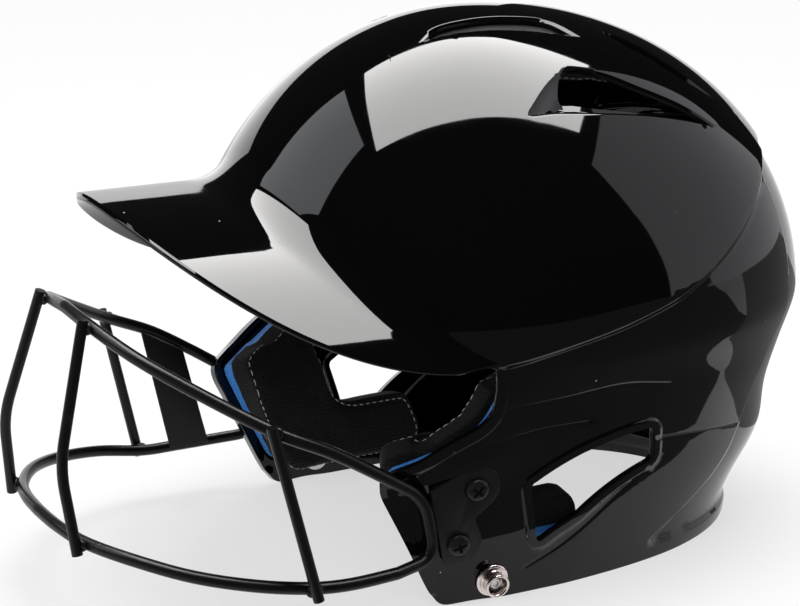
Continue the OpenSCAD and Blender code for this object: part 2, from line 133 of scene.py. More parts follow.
def ease(t):
    """A smooth step from 0 to 1."""
    t = np.clip(t, 0, 1)
    return t * t * (3 - 2 * t)


def dressed(piece, material, slot, *nodes):
    """Give a finished piece its material, its body and the nodes that it stands for."""
    piece.data.materials.clear()
    piece.data.materials.append(material)
    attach(piece, "root")
    if nodes:
        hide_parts(*nodes)
    return piece


# %% [markdown]
# The shell is one moulding of glossy plastic: a dome, a lower band set in under a chamfered
# ridge, and an arched bill that runs out of the brow. Gloss shows every ripple, so a shell
# pushed together from primitives would look dented. It is made another way: one formula
# gives the skin's distance from a point inside the head, in every direction. Then both its
# points and its shading come from the formula, and the reflections stay clean.

# %% Driving sizes of the shell, in millimetres
CORE = np.array([0.0, 38.0, 60.0])
HALF_W, FRONT, REAR, MIDDLE = 100.5, 114.0, 138.0, 24.0
BELT, CROWN, CROWN_POWER = 91.0, 208.5, 2.04
BILL_Z, BILL_HALF, BILL_LENGTH, BILL_POWER = 150.0, 93.0, 115.0, 2.1
EYE_Y, EYE_Z = -17.0, 95.0
STEP, STEP_HEIGHT, WALL = 2.5, 2.4, 3.0
FLAP_FLARE, NECK_FULL, LIP_FLARE, PANEL_DEPTH = 4.0, 7.0, 2.5, 1.7
RIDGE = [(0, 160), (39, 152.6), (50, 141.3), (69, 119), (75, 112.3), (86, 105.6),
         (100, 99.9), (111, 95), (180, 91)]


def front_to_rear(y, middle, front, rear, run=40.0):
    """How far y lies from the middle, as a share of the reach ahead or behind."""
    turn = ease((y - middle + run) / (2 * run))
    return (y - middle) * (1 / front + (1 / rear - 1 / front) * turn)


def rear_power(y, middle):
    return 2.0 + 0.2 * ease((y - middle - 5) / 65)


def dome_level(p):
    """Below zero inside the dome, above zero outside it."""
    u = np.abs(front_to_rear(p[:, 1], MIDDLE, FRONT, REAR))
    power = rear_power(p[:, 1], MIDDLE)
    plan = (np.abs(p[:, 0]) / HALF_W) ** power + u ** power
    height = np.maximum(0, p[:, 2] - BELT) / (CROWN - BELT)
    return plan ** (2 / power) + height ** CROWN_POWER - 1


def soft_min(a, b, k):
    h = np.clip(0.5 + 0.5 * (b - a) / k, 0, 1)
    return b + (a - b) * h - k * h * (1 - h)


def band_level(p):
    """The same for the lower band, which narrows from the temples to the rim."""
    z = p[:, 2]
    height = np.maximum(0, z - BELT) / (CROWN - STEP - BELT)
    share = np.sqrt(np.clip(1 - height ** CROWN_POWER, 1e-6, 1))
    flare = 2.7 * ease((z - 76) / 22)
    half = soft_min(75.5 + 0.18 * z + 0.0003 * z * z + flare, (HALF_W - STEP) * share, 1.5)
    half = half + FLAP_FLARE * ease((z - 42) / 20) * ease((94 - z) / 14) * ease((5 - p[:, 1]) / 30)
    middle = MIDDLE - 10 * np.clip((EYE_Z - z) / EYE_Z, 0, 1)
    back = soft_min(132 + 0.36 * z - 0.0006 * z * z, MIDDLE + (REAR - STEP) * share, 3.0)
    back = back + LIP_FLARE * np.exp(-(z / 5) ** 2) + NECK_FULL * np.exp(-((z - 36) / 16) ** 2)
    front = np.where(z > EYE_Z, (FRONT - STEP) * share, 115 - 3.5 * ease((z - 75) / 20))
    u = np.abs(front_to_rear(p[:, 1], middle, front, back - middle))
    jaw = 2.0 + 0.6 * np.clip((EYE_Z - z) / 35, 0, 1)
    turn = ease((p[:, 1] - middle + 20) / 40)
    power = jaw * (1 - turn) + rear_power(p[:, 1], middle) * turn
    return (np.abs(p[:, 0]) / half) ** power + u ** power - 1


def reach_of(level, start, rays, low=0.0, high=330.0):
    """Distance along each ray to the skin, found by halving."""
    low = np.full(len(rays), low)
    high = np.full(len(rays), high)
    for _ in range(30):
        mid = (low + high) / 2
        under = level(start + rays * mid[:, None]) < 0
        low = np.where(under, mid, low)
        high = np.where(under, high, mid)
    return (low + high) / 2


ANGLES = np.arange(-30, 211)
window = np.exp(-0.5 * (np.arange(-9, 10) / 3.0) ** 2)
RIDGE_HEIGHTS = np.convolve(np.interp(np.abs(ANGLES), *zip(*RIDGE)), window / window.sum(), "same")


def ridge_height(p):
    u = front_to_rear(p[:, 1], MIDDLE, FRONT, REAR)
    around = np.degrees(np.arctan2(np.abs(p[:, 0]) / HALF_W, u))
    return np.interp(around, ANGLES, RIDGE_HEIGHTS)


def bill_reach(rays):
    """The bill is an arched sheet. It fades out where it would pass below the eye corner."""
    a = (BILL_Z - EYE_Z) * rays[:, 0] ** 2 / BILL_HALF ** 2
    drop = CORE[2] - BILL_Z
    root = np.sqrt(np.maximum(rays[:, 2] ** 2 - 4 * a * drop, 0))
    far = -2 * drop / np.maximum(rays[:, 2] + root, 1e-6)
    low = CORE[2] + rays[:, 2] * far
    far = far - 40 * (1 - ease((low - 88) / 8))
    return np.where((rays[:, 2] > 0.05) & (rays[:, 1] < 0), far, 0)


def skin_reach(rays):
    """Dome above the ridge, band below it, and the bill blended on with a fillet. Also says
    which rays meet the bill, and which meet the fillet."""
    dome = reach_of(dome_level, CORE, rays)
    band = reach_of(band_level, CORE, rays)
    on_dome = CORE + rays * dome[:, None]
    over = (on_dome[:, 2] - ridge_height(on_dome)) / STEP_HEIGHT
    body = band + (dome - band) * ease(over + 0.5)
    bill = bill_reach(rays)
    side = np.degrees(np.arctan2(np.abs(rays[:, 0]), -rays[:, 1]))
    fillet = 14 - 11.5 * ease(side / 62)
    h = np.clip(0.5 + 0.5 * (bill - body) / fillet, 0, 1)
    return body + (bill - body) * h + fillet * h * (1 - h), bill > body, h * (1 - h) > 0.004


print("ridge at the side:", round(float(RIDGE_HEIGHTS[120]), 1), "mm high")


# %% [markdown]
# To lay out edges and openings we need a flat map of the skin. A stereographic map keeps
# angles true, so a round corner stays round on it. Each outline is written as points on the
# real helmet and mapped. Its neighbours are found by stepping sideways on the map, with the
# step scaled by what it measures on the skin.

# %% The flat map and lines on it
MAP_SCALE = 200


def to_map(p):
    d = np.atleast_2d(p) - CORE
    d = d / np.linalg.norm(d, axis=1, keepdims=True)
    r = MAP_SCALE * np.tan(np.arccos(np.clip(d[:, 2], -1, 1)) / 2)
    turn = np.arctan2(d[:, 0], d[:, 1])
    return np.c_[r * np.sin(turn), r * np.cos(turn)]


def to_rays(q):
    r = np.hypot(q[:, 0], q[:, 1])
    tilt = 2 * np.arctan(r / MAP_SCALE)
    flat = np.sin(tilt) / np.maximum(r, 1e-9)
    return np.c_[q[:, 0] * flat, q[:, 1] * flat, np.cos(tilt)]


def plain_skin(q):
    rays = to_rays(q)
    return CORE + rays * skin_reach(rays)[0][:, None]


def side_point(y, z):
    """The point of the band or dome at this place on the wearer's left."""
    level = dome_level if z > 115 else band_level
    start = np.array([[0.0, y, z]])
    return start[0] + [reach_of(level, start, np.array([[1.0, 0, 0]]), 0, 140)[0], 0, 0]


def rear_point(x, z):
    level = dome_level if z > 155 else band_level
    start = np.array([[x, MIDDLE, z]])
    return start[0] + [0, reach_of(level, start, np.array([[0, 1.0, 0]]), 0, 170)[0], 0]


def rounded(points, radius, closed=True):
    """Swap each corner of a line for a short curve."""
    points = [np.array(p, float) for p in points]
    out = []
    for k, v in enumerate(points):
        if not closed and k in (0, len(points) - 1):
            out.append(v)
            continue
        legs = [points[k - 1] - v, points[(k + 1) % len(points)] - v]
        r = min(radius, *(np.linalg.norm(leg) * 0.45 for leg in legs))
        a, b = (v + leg / np.linalg.norm(leg) * r for leg in legs)
        out += [(1 - t) ** 2 * a + 2 * t * (1 - t) * v + t * t * b for t in np.linspace(0, 1, 7)]
    return out


def spaced(q, step, closed=False):
    """The same line on the map with its points a set distance apart on the skin."""
    q = np.vstack([q, q[:1]]) if closed else q
    dense = np.vstack([a + (b - a) * t for a, b in zip(q[:-1], q[1:]) for t in (0, .25, .5, .75)] + [q[-1:]])
    run = np.r_[0, np.cumsum(np.linalg.norm(np.diff(plain_skin(dense), axis=0), axis=1))]
    at = np.linspace(0, run[-1], max(3, round(run[-1] / step) + 1))
    line = np.c_[np.interp(at, run, dense[:, 0]), np.interp(at, run, dense[:, 1])]
    return line[:-1] if closed else line


def beside(q, distance, closed=False):
    """The line moved sideways on the skin, to the left of its run for a positive distance."""
    if closed:
        along = np.roll(q, -1, 0) - np.roll(q, 1, 0)
    else:
        along = np.gradient(q, axis=0)
    side = np.c_[-along[:, 1], along[:, 0]]
    if not closed:
        for end in (0, -1):
            if abs(q[end, 0]) < 1e-6:
                side[end, 0] = 0
    side = side / np.linalg.norm(side, axis=1, keepdims=True)
    measured = np.linalg.norm(plain_skin(q + side * 0.5) - plain_skin(q), axis=1)
    padded = np.pad(measured, 3, "wrap" if closed else "edge")
    steady = np.median([padded[k:k + len(q)] for k in range(7)], axis=0)
    return q + side * (0.5 * distance / steady)[:, None]


def within(loop, q):
    """Which points of the map lie inside a closed line."""
    hit = np.zeros(len(q), bool)
    for a, b in zip(loop, np.roll(loop, -1, 0)):
        if a[1] == b[1]:
            continue
        crosses = (a[1] > q[:, 1]) != (b[1] > q[:, 1])
        hit ^= crosses & (q[:, 0] < (b[0] - a[0]) * (q[:, 1] - a[1]) / (b[1] - a[1]) + a[0])
    return hit


def from_line(p, line):
    """Distance in millimetres from points to a line of points."""
    best = np.full(len(p), 1e9)
    for a, b in zip(line[:-1], line[1:]):
        leg = b - a
        t = np.clip((p - a) @ leg / (leg @ leg), 0, 1)
        best = np.minimum(best, np.linalg.norm(p - a - t[:, None] * leg, axis=1))
    return best


print("the back of the rim on the map:", np.round(to_map(np.array([[0, 150, 0]]))[0]))

# %% [markdown]
# The outer edge of the half shell runs along the bill, turns down at the eye corner, follows
# the front of the cheek flap to its toe and then the lower rim to the back of the neck. The
# openings are the ear hole, the crown slot, two slots behind it, the side vent, the ponytail
# port and the holes for the screws and the snap's rivet.

# %% Outlines of the half shell
EDGE_STEP = 1.9


def bill_edge():
    turn = np.radians(np.linspace(0, 86, 60))
    x = BILL_HALF * np.sin(turn) ** (2 / BILL_POWER)
    y = EYE_Y - BILL_LENGTH * np.cos(turn) ** (2 / BILL_POWER)
    return np.c_[x, y, BILL_Z - (BILL_Z - EYE_Z) * x * x / BILL_HALF ** 2]


flap_corners = [(-24, 97), (-16.3, 94.5), (-17.2, 78), (-21, 73.8), (-47.5, 59), (-56.5, 55),
                (-55, 48.5), (-35, 8), (-30, 0)]
flap_edge = [side_point(y, z) for y, z in rounded(flap_corners, 6, closed=False)[1:]]


def rim_edge():
    """The lower rim, from the flap's toe to the middle of the back."""
    turn = np.radians(np.linspace(112, 0, 90))
    heading = np.c_[np.sin(turn), np.cos(turn), 0 * turn]
    start = np.array([0, MIDDLE, 0.0])
    p = start + heading * reach_of(band_level, start, heading, 0, 190)[:, None]
    return p[p[:, 1] > -24]


outer_edge = np.vstack([bill_edge(), flap_edge, rim_edge()])
outer_edge = to_map(outer_edge)
outer_edge[0, 0] = outer_edge[-1, 0] = 0
outer_edge = spaced(outer_edge, EDGE_STEP)
for _ in range(5):
    outer_edge[1:-1] = (outer_edge[:-2] + 2 * outer_edge[1:-1] + outer_edge[2:]) / 4

port_corners = rounded([(0, 15), (46, 15), (38, 58), (0, 58)], 9, closed=False)
port_edge = to_map(np.array([rear_point(x, z) for x, z in port_corners]))
port_edge[0, 0] = port_edge[-1, 0] = 0
port_edge = spaced(port_edge, EDGE_STEP)

ear_corners = rounded([(1.2, 46.4), (51, 60.6), (54, 58.5), (56.2, 46.4), (21.8, 28.5), (7.4, 20.6)], 2.6)
ear_edge = spaced(to_map(np.array([side_point(y, z) for y, z in ear_corners])), 1.5, closed=True)

vent_lip = [(52.3, 32.3, 191.3), (54, 46.3, 188.6), (58.2, 61.2, 182.5), (60.8, 77.5, 175.2),
            (63, 94.6, 164.5)]
vent_foot = [(52.3, 32.3, 191.3), (57.7, 21.8, 187.5), (62.9, 13.4, 182.6), (66.7, 7.8, 177.9),
             (68.5, 20.4, 177.5), (69.1, 37, 176.1), (68.2, 59.2, 173.2), (66.2, 78.5, 169.2),
             (63, 94.6, 164.5)]
vent_ledge = [(52.3, 32.3, 191.3), (54.5, 29.5, 190), (58.5, 26, 186.5), (61.2, 25.5, 184.8),
              (61.9, 31, 184.2), (62.8, 42, 182), (62.7, 58, 179.3), (62.2, 75, 174.5),
              (62.6, 86, 168.8), (63, 94.6, 164.5)]
slot_lip = [(23.1, -12.5, 199.6), (18.6, -3.8, 203.1), (19.2, 9.8, 205.5), (21.3, 27.2, 205.6),
            (24.5, 41.2, 204), (36.2, 49.2, 198.7)]
slot_foot = [(23.1, -12.5, 199.6), (26.8, 2, 203), (31.3, 21.4, 202.7), (34.2, 34, 201.3),
             (36.2, 49.2, 198.7)]
slit_lip = [(28.7, 61.7, 199.5), (31.9, 70.7, 196), (38.2, 80.5, 190), (44.6, 90.4, 182.3),
            (49, 102, 173)]
slit_foot = [(28.7, 61.7, 199.5), (36, 67, 195), (42.5, 75.6, 189.5), (47.6, 87, 181.3),
             (49, 102, 173)]
print("edge points:", len(outer_edge), "port:", len(port_edge), "ear hole:", len(ear_edge))

# %% [markdown]
# A vent is a slot cut into the dome. Its upper side stays proud as a lip, and its lower side
# sinks to a ledge inside. So each is given two or three lines, and the hole is what is left
# between the lip and the ledge.

# %% Vents
def smooth_line(points, step=1.5):
    """A curve through a few points of the skin, evenly spaced."""
    p = np.array(points, float)
    run = np.r_[0, np.cumsum(np.linalg.norm(np.diff(p, axis=0), axis=1))]
    slope = np.gradient(p, run, axis=0)
    at = np.linspace(0, run[-1], 60)
    k = np.clip(np.searchsorted(run, at, side="right") - 1, 0, len(p) - 2)
    width = (run[k + 1] - run[k])[:, None]
    t = (at - run[k])[:, None] / width
    q = ((2 * t ** 3 - 3 * t ** 2 + 1) * p[k] + (t ** 3 - 2 * t ** 2 + t) * width * slope[k]
         + (3 * t ** 2 - 2 * t ** 3) * p[k + 1] + (t ** 3 - t ** 2) * width * slope[k + 1])
    return spaced(to_map(q), step)


def vent(lip, foot, ledge, sunk, inner=None):
    """A vent under a lip: its outline, and the hole left between the lip and a sunk ledge.
    Where no inner line is given, the ledge's width grows from both ends to its middle."""
    lip, foot = smooth_line(lip), smooth_line(foot)
    if inner is None:
        run = np.linspace(0, 1, len(foot))
        width = ledge * ease(run / 0.3) * ease((1 - run) / 0.4) + 0.2
        inner = foot + (beside(foot, 1.0) - foot) * width[:, None]
    else:
        inner = smooth_line(inner)
    return {"outline": np.vstack([lip, foot[-2:0:-1]]), "lip": plain_skin(lip), "foot": plain_skin(foot),
            "foot_map": foot, "hole": spaced(np.vstack([lip, inner[-2:0:-1]]), 1.4, closed=True),
            "ledge": ledge, "sunk": sunk}


vents = [vent(vent_lip, vent_foot, 7.0, 6.5, vent_ledge), vent(slot_lip, slot_foot, 3.0, 2.6),
         vent(slit_lip, slit_foot, 1.8, 1.6)]
print("points round the side vent's hole:", len(vents[0]["hole"]))

# %% [markdown]
# On top of the plain skin lie the moulded details. The ear hole and the flap's front edge
# have a raised collar. The back of the neck is a sunk panel with a flared lip, and the panel
# above it has a step at each side. Two creases and a seam cross the lower band. Each detail
# is a small change of the skin's distance from the core.

# %% Moulded details
def round_hole(centre, normal, radius, count=20):
    """A round hole as a line on the map, seen along its axis."""
    normal = Vector(normal).normalized()
    back = Vector((-normal.y, normal.x, 0)).normalized()
    up = normal.cross(back)
    turn = [2 * math.pi * k / count for k in range(count)]
    ring = [Vector(centre) + radius * (math.cos(t) * back + math.sin(t) * up) for t in turn]
    return to_map(np.array(ring))


GUARD_SEAT, GUARD_NORMAL = Vector((82.672, -24.285, 37.9)), Vector((1, -0.18, -0.18)).normalized()
SNAP_SEAT, SNAP_NORMAL = Vector((76.669, -10.198, 8.5)), Vector((1, -0.08, -0.14)).normalized()
SCREW_LEAN, SCREW_PITCH = math.radians(14), 23.0


def seat_axes(normal):
    """Directions on the flap: to the rear and up."""
    back = Vector((-normal.y, normal.x, 0)).normalized()
    return back, normal.cross(back)


def screw_places():
    back, up = seat_axes(GUARD_NORMAL)
    lean = math.sin(SCREW_LEAN) * back + math.cos(SCREW_LEAN) * up
    return [GUARD_SEAT + end * SCREW_PITCH / 2 * lean for end in (-1, 1)]


fastener_holes = [round_hole(p, GUARD_NORMAL, 2.4) for p in screw_places()]
fastener_holes.append(round_hole(SNAP_SEAT, SNAP_NORMAL, 2.6))

panel_side = [(0, 72), (11.5, 71), (28, 68), (48, 67), (73, 67), (98, 71), (110, 69.5), (129, 66),
              (142, 62), (153, 55), (166, 46)]


def line_on_side(points):
    return plain_skin(smooth_line([side_point(y, z) for y, z in points], 3))


crease_high = line_on_side([(-12, 78.5), (8, 79.3), (36, 81), (58, 77)])
crease_low = line_on_side([(-23, 64.8), (-12, 66.8), (2, 68), (24, 68)])
seam = line_on_side([(56, 55), (80, 52.3), (103, 48.8)])
foot_crease = line_on_side([(54, 42), (42, 34.5), (30, 25.3), (17.7, 17.2), (4, 10.8)])
ear_line = plain_skin(np.vstack([ear_edge, ear_edge[:1]]))
flap_line = plain_skin(outer_edge)
flap_line = flap_line[(flap_line[:, 1] > -60) & (flap_line[:, 1] < -15) & (flap_line[:, 0] > 60)
                      & (flap_line[:, 2] > 8) & (flap_line[:, 2] < 92)]


def groove(p, line, depth, width):
    return depth * (1 - ease(from_line(p, line) / width))


def collar(p, line, height, from_edge, slope):
    return height * (1 - ease((from_line(p, line) - from_edge) / slope))


def sunk_by(q, p):
    """How far the details sink each point below the plain skin."""
    p = np.c_[np.abs(p[:, 0]), p[:, 1:]]
    q = np.c_[np.abs(q[:, 0]), q[:, 1]]
    rear = p[:, 1] > MIDDLE
    side = np.interp(p[:, 2], *zip(*panel_side))
    inside = ease((side - p[:, 0]) / 1.8 + 0.5)
    deep = PANEL_DEPTH * np.interp(p[:, 2], [0, 5, 6.6, 45, 62, 90], [0, 0, 1, 1, 0.6, 0])
    proud = np.interp(p[:, 2], [0, 50, 80, 110, 150, 166], [0, 0.3, 1.2, 1.8, 1.8, 0])
    proud = proud * (1 - ease((p[:, 0] - side) / 30))
    out = np.where(rear, inside * deep - (1 - inside) * proud, 0)
    out += groove(p, crease_high, 0.35, 1.4) + groove(p, crease_low, 0.3, 1.2)
    out += groove(p, seam, 0.35, 0.7) + groove(p, foot_crease, 0.5, 1.4)
    out -= collar(p, ear_line, 0.8, 3.2, 1.2) + collar(p, flap_line, 0.6, 3.0, 1.2)
    for v in vents:
        near = within(v["outline"], q) & (from_line(p, v["lip"]) > 0.4)
        out[near] += v["sunk"] * ease(from_line(p[near], v["foot"]) / v["ledge"])
    return out


def skin(q):
    """A point of the finished outer skin for each point of the map."""
    rays = to_rays(q)
    reach = skin_reach(np.c_[np.abs(rays[:, 0]), rays[:, 1:]])[0]
    plain = CORE + rays * reach[:, None]
    return CORE + rays * (reach - sunk_by(q, plain))[:, None]


print("creases and collars laid out, holes for fasteners:", len(fastener_holes))

# %% [markdown]
# The sheet is built from the edges inwards. Two rows of quads follow every edge, so that the
# bevel on it stays even. Rows of points follow each ridge and crease. The rest is filled
# with points at an even spacing, and a Delaunay mesh joins them all.

# %% Points and rows of the half sheet
ROWS = [1.15, 2.3]
GRAIN, FILLET_GRAIN = 2.5, 1.0
MEAN_REACH = 112


def edge_rows(line, closed, turn):
    """The line and its rows inside the material. turn says on which side that lies."""
    return [line] + [beside(line, turn * d, closed) for d in ROWS]


open_edges = [edge_rows(outer_edge, False, 1), edge_rows(port_edge, False, -1)]
hole_edges = []
for line in [ear_edge, *(v["hole"] for v in vents), *fastener_holes]:
    hole_edges.append(edge_rows(line, True, -1 if turns_left(line) else 1))
bill_middle, rim_end = open_edges[0][2][0], open_edges[0][2][-1]
port_foot, port_top = open_edges[1][2][0], open_edges[1][2][-1]
middle_line = spaced(np.array([port_top, [0, 0], bill_middle]), GRAIN)
neck_line = spaced(np.array([rim_end, port_foot]), GRAIN)
domain = np.vstack([open_edges[0][2], neck_line[1:-1], open_edges[1][2], middle_line[1:-1]])
hole_loops = [rows[2] for rows in hole_edges]
print("domain:", len(domain), "holes:", len(hole_loops))

# %% Lines that follow the ridge, the panel, the creases and the ledges
def ridge_line(lift):
    """The ridge on the dome, raised or lowered by a little."""
    turn = np.radians(np.arange(0, 112, 1.0))
    heading = np.c_[HALF_W * np.sin(turn), np.where(turn < math.pi / 2, REAR, FRONT) * np.cos(turn), 0 * turn]
    heading = heading / np.linalg.norm(heading, axis=1, keepdims=True)
    height = np.interp(np.degrees(turn), ANGLES, RIDGE_HEIGHTS) + lift
    start = np.c_[0 * turn, 0 * turn + MIDDLE, height]
    line = to_map(start + heading * reach_of(dome_level, start, heading, 0, 200)[:, None])
    line[0, 0] = 0
    return spaced(line, 2.2)


def panel_row(shift):
    heights = np.r_[np.arange(8.5, 60, 2.2), np.arange(60, 166, 4)]
    row = [rear_point(np.interp(z, *zip(*panel_side)) + shift, z) for z in heights]
    return spaced(to_map(np.array(row)), 2.2)


def lip_row(height):
    return spaced(to_map(np.array([rear_point(x, height) for x in np.arange(0, 64, 3)])), 2.2)


def on_map(points):
    return spaced(to_map(np.array(points)), 2.0)


feature_rows = [ridge_line(lift) for lift in (-1.3, -0.8, -0.3, 0.3, 0.8, 1.3)]
feature_rows += [panel_row(shift) for shift in (-1.1, -0.5, 0, 0.5, 1.1)]
feature_rows += [lip_row(height) for height in (4.4, 5.2, 6, 6.9)]
for line, width in ((crease_high, 1.4), (crease_low, 1.2), (seam, 0.7), (foot_crease, 1.4)):
    feature_rows += [beside(on_map(line), side * width) for side in (-1, -0.5, 0, 0.5, 1)]
ear_turn = -1 if turns_left(ear_edge) else 1
feature_rows += [beside(ear_edge, ear_turn * d, True) for d in (3.2, 3.6, 4.0, 4.4)]
feature_rows += [beside(outer_edge, d) for d in (3.0, 3.4, 3.8, 4.2)]
for v in vents:
    foot = v["foot_map"]
    turn = 1 if within(v["outline"], beside(foot, 0.6))[len(foot) // 2] else -1
    feature_rows += [beside(foot, turn * d) for d in np.arange(-0.3, v["ledge"] - 2.2, 0.9)]
print("feature rows:", len(feature_rows))

# %% Join the points into the half sheet
def lattice(grain):
    """Rings of points round the core, and a plan grid of points over the bill. Also says which
    of them lie in the fillet between dome and bill."""
    spacing = grain / MEAN_REACH
    rings = []
    for k, tilt in enumerate(np.arange(spacing, math.radians(131), spacing * 0.87)):
        count = max(1, round(math.pi * math.sin(tilt) / spacing))
        turn = (np.arange(count) + 0.25 + 0.5 * (k % 2)) * math.pi / count
        rings.append(MAP_SCALE * np.tan(tilt / 2) * np.c_[np.sin(turn), np.cos(turn)])
    rings = np.vstack(rings)
    x, y = np.meshgrid(np.arange(1.2, BILL_HALF, grain), np.arange(EYE_Y - BILL_LENGTH, 40, grain * 0.87))
    x = (x + grain / 2 * (np.arange(len(x)) % 2)[:, None]).ravel()
    grid = to_map(np.c_[x, y.ravel(), BILL_Z - (BILL_Z - EYE_Z) * x * x / BILL_HALF ** 2])
    grid = grid[grid[:, 1] < 0]
    spread_out = np.vstack([rings[~skin_reach(to_rays(rings))[1]], grid[skin_reach(to_rays(grid))[1]]])
    return spread_out, skin_reach(to_rays(spread_out))[2]


def clear_of(tree, p, distance):
    return np.array([tree.find(Vector(v))[2] > distance for v in p])


def tree_of(p):
    tree = kdtree.KDTree(len(p))
    for k, v in enumerate(p):
        tree.insert(Vector(v), k)
    tree.balance()
    return tree


def usable(q):
    inside = within(domain, q)
    for loop in hole_loops:
        inside &= ~within(loop, q)
    return inside


points, links = [], []


def add_loop(line, closed):
    first = len(points)
    points.extend(map(tuple, line))
    links.extend((first + k, first + k + 1) for k in range(len(line) - 1))
    if closed:
        links.append((len(points) - 1, first))
    return list(range(first, len(points)))


edge_ids = add_loop(domain, True)
split = np.cumsum([len(part) for part in (open_edges[0][2], neck_line[1:-1], open_edges[1][2])])
row_ids = [edge_ids[:split[0]], edge_ids[split[1]:split[2]]]
row_ids += [add_loop(loop, True) for loop in hole_loops]
edge_tree = tree_of(plain_skin(np.array(points)))
for row in feature_rows:
    keep = usable(row) & (clear_of(edge_tree, plain_skin(row), 1.3) | (np.abs(row[:, 0]) < 1e-6))
    ids = {}
    for k in np.flatnonzero(keep):
        ids[k] = len(points)
        points.append(tuple(row[k]))
    links.extend((ids[k], ids[k + 1]) for k in ids if k + 1 in ids)
row_tree = tree_of(plain_skin(np.array(points)))
for grain, in_fillet, clearance in ((GRAIN, False, 1.5), (FILLET_GRAIN, True, 0.8)):
    loose, fillet = lattice(grain)
    loose = loose[fillet == in_fillet]
    loose = loose[usable(loose)]
    loose = loose[clear_of(row_tree, plain_skin(loose), clearance)]
    points.extend(map(tuple, loose))
    print("loose points:", len(loose))
joined = geometry.delaunay_2d_cdt([Vector(p) for p in points], links, [], 0, 1e-4)
map_points = np.array([tuple(v) for v in joined[0]])
faces = np.array(joined[2])
kept = usable(map_points[faces].mean(axis=1))
faces = [tuple(f) for f in faces[kept]]
new_id = {old: k for k, olds in enumerate(joined[3]) for old in olds}
print("points:", len(map_points), "triangles:", len(faces))

# %% Add the edge quads and lift the map onto the skin
all_points = [map_points]
total = len(map_points)
for rows, ids in zip(open_edges + hole_edges, row_ids):
    closed = rows is not open_edges[0] and rows is not open_edges[1]
    n = len(rows[0])
    edge = range(total, total + n)
    first_row = range(total + n, total + 2 * n)
    last_row = [new_id[k] for k in ids]
    all_points += rows[:2]
    total += 2 * n
    for outer, inner in ((edge, first_row), (first_row, last_row)):
        for k in range(n if closed else n - 1):
            faces.append((outer[k], outer[(k + 1) % n], inner[(k + 1) % n], inner[k]))
all_points = np.vstack(all_points)


def turned_out(face):
    """Corners in the order that makes the face point away from the head."""
    return face if turns_left(all_points[list(face)]) else face[::-1]


on_skin = skin(all_points)
on_skin[np.abs(all_points[:, 0]) < 1e-6, 0] = 0
shell = new_piece("shell_skin", (on_skin * MM).tolist(), [turned_out(f) for f in faces])
shell.data.name = "shell_gloss_skin"
print("half sheet:", len(shell.data.vertices), "points", len(shell.data.polygons), "faces")

# %% [markdown]
# Now the half is mirrored, given its wall and its rounded edges by three modifiers. A shell
# this glossy needs exact shading, so at last each point of the outer skin gets its normal
# from the formula. Points inside the wall keep the normals that Blender works out.

# %% Mirror, thicken and round the shell
mirror = shell.modifiers.new("both sides", "MIRROR")
mirror.merge_threshold = 0.01 * MM
wall = shell.modifiers.new("wall", "SOLIDIFY")
wall.thickness, wall.offset = WALL * MM, -1
wall.use_quality_normals = True
bevelled(shell, "rounded edge", 0.85, 3, 50)
apply_all(shell)
shell.data.shade_smooth()
print("whole shell:", len(shell.data.vertices), "points")

# %% Exact shading of the outer skin
BILL_LEAN, BILL_SHADE = 2.3, 1.8


def formula_normals(piece):
    """Exact normals on the outer skin. The bill's lean as if its middle were a bit flatter
    and its sides a bit steeper, as they are on the moulding."""
    p = points_of(piece).astype(float) / MM
    mirrored = p[:, 0] < 0
    q = to_map(np.c_[np.abs(p[:, 0]), p[:, 1:]])
    off = np.linalg.norm(skin(q) - np.c_[np.abs(p[:, 0]), p[:, 1:]], axis=1)
    step = 0.3
    across = skin(q + [step, 0]) - skin(q - [step, 0])
    along = skin(q + [0, step]) - skin(q - [0, step])
    normals = np.cross(across, along)
    normals = normals / np.linalg.norm(normals, axis=1, keepdims=True)
    on_bill = skin_reach(to_rays(q))[1] & (p[:, 2] > EYE_Z)
    share = np.clip(np.abs(p[:, 0]) / BILL_HALF, 0, 1)
    drop = (BILL_Z - EYE_Z) / BILL_HALF
    steeper = drop * (BILL_LEAN * share ** BILL_SHADE - 2 * share) * ease((p[:, 2] - 100) / 10)
    clear = ease((-p[:, 1] - np.interp(np.abs(p[:, 0]), [0, 45, 93], [84, 74, 30])) / 12)
    normals[:, 0] += np.where(on_bill, steeper * clear * normals[:, 2], 0)
    normals = normals / np.linalg.norm(normals, axis=1, keepdims=True)
    normals[mirrored, 0] *= -1
    normals[off > 0.03] = 0
    piece.data.normals_split_custom_set_from_vertices(normals.tolist())
    print("points with exact normals:", int(np.sum(off <= 0.03)), "of", len(p))


formula_normals(shell)
print("shell triangles:", sum(len(f.vertices) - 2 for f in shell.data.polygons))

# %% [markdown]
# Now the finishes. Every effect that more than one finish uses is a node group, built once:
# dust specks, fine grain, knitted loops and rubbed patches. Each gives out only a mask or a
# height. The finish itself keeps its shader, so its plain values can be read and exported.

# %% Helpers that build node trees
def joined_node(tree, kind, settings=None, **inputs):
    """Add a node. Each input is a value or another node's socket. It is named with
    underscores, or i0, i1 and so on by its number."""
    node = tree.nodes.new(kind)
    for name, value in (settings or {}).items():
        setattr(node, name, value)
    for name, value in inputs.items():
        numbered = name[0] == "i" and name[1:].isdigit()
        slot = node.inputs[int(name[1:]) if numbered else name.replace("_", " ")]
        if isinstance(value, bpy.types.NodeSocket):
            tree.links.new(value, slot)
        else:
            slot.default_value = value
    return node


def math_node(tree, operation, a, b=0.0):
    return joined_node(tree, "ShaderNodeMath", {"operation": operation}, i0=a, i1=b).outputs[0]


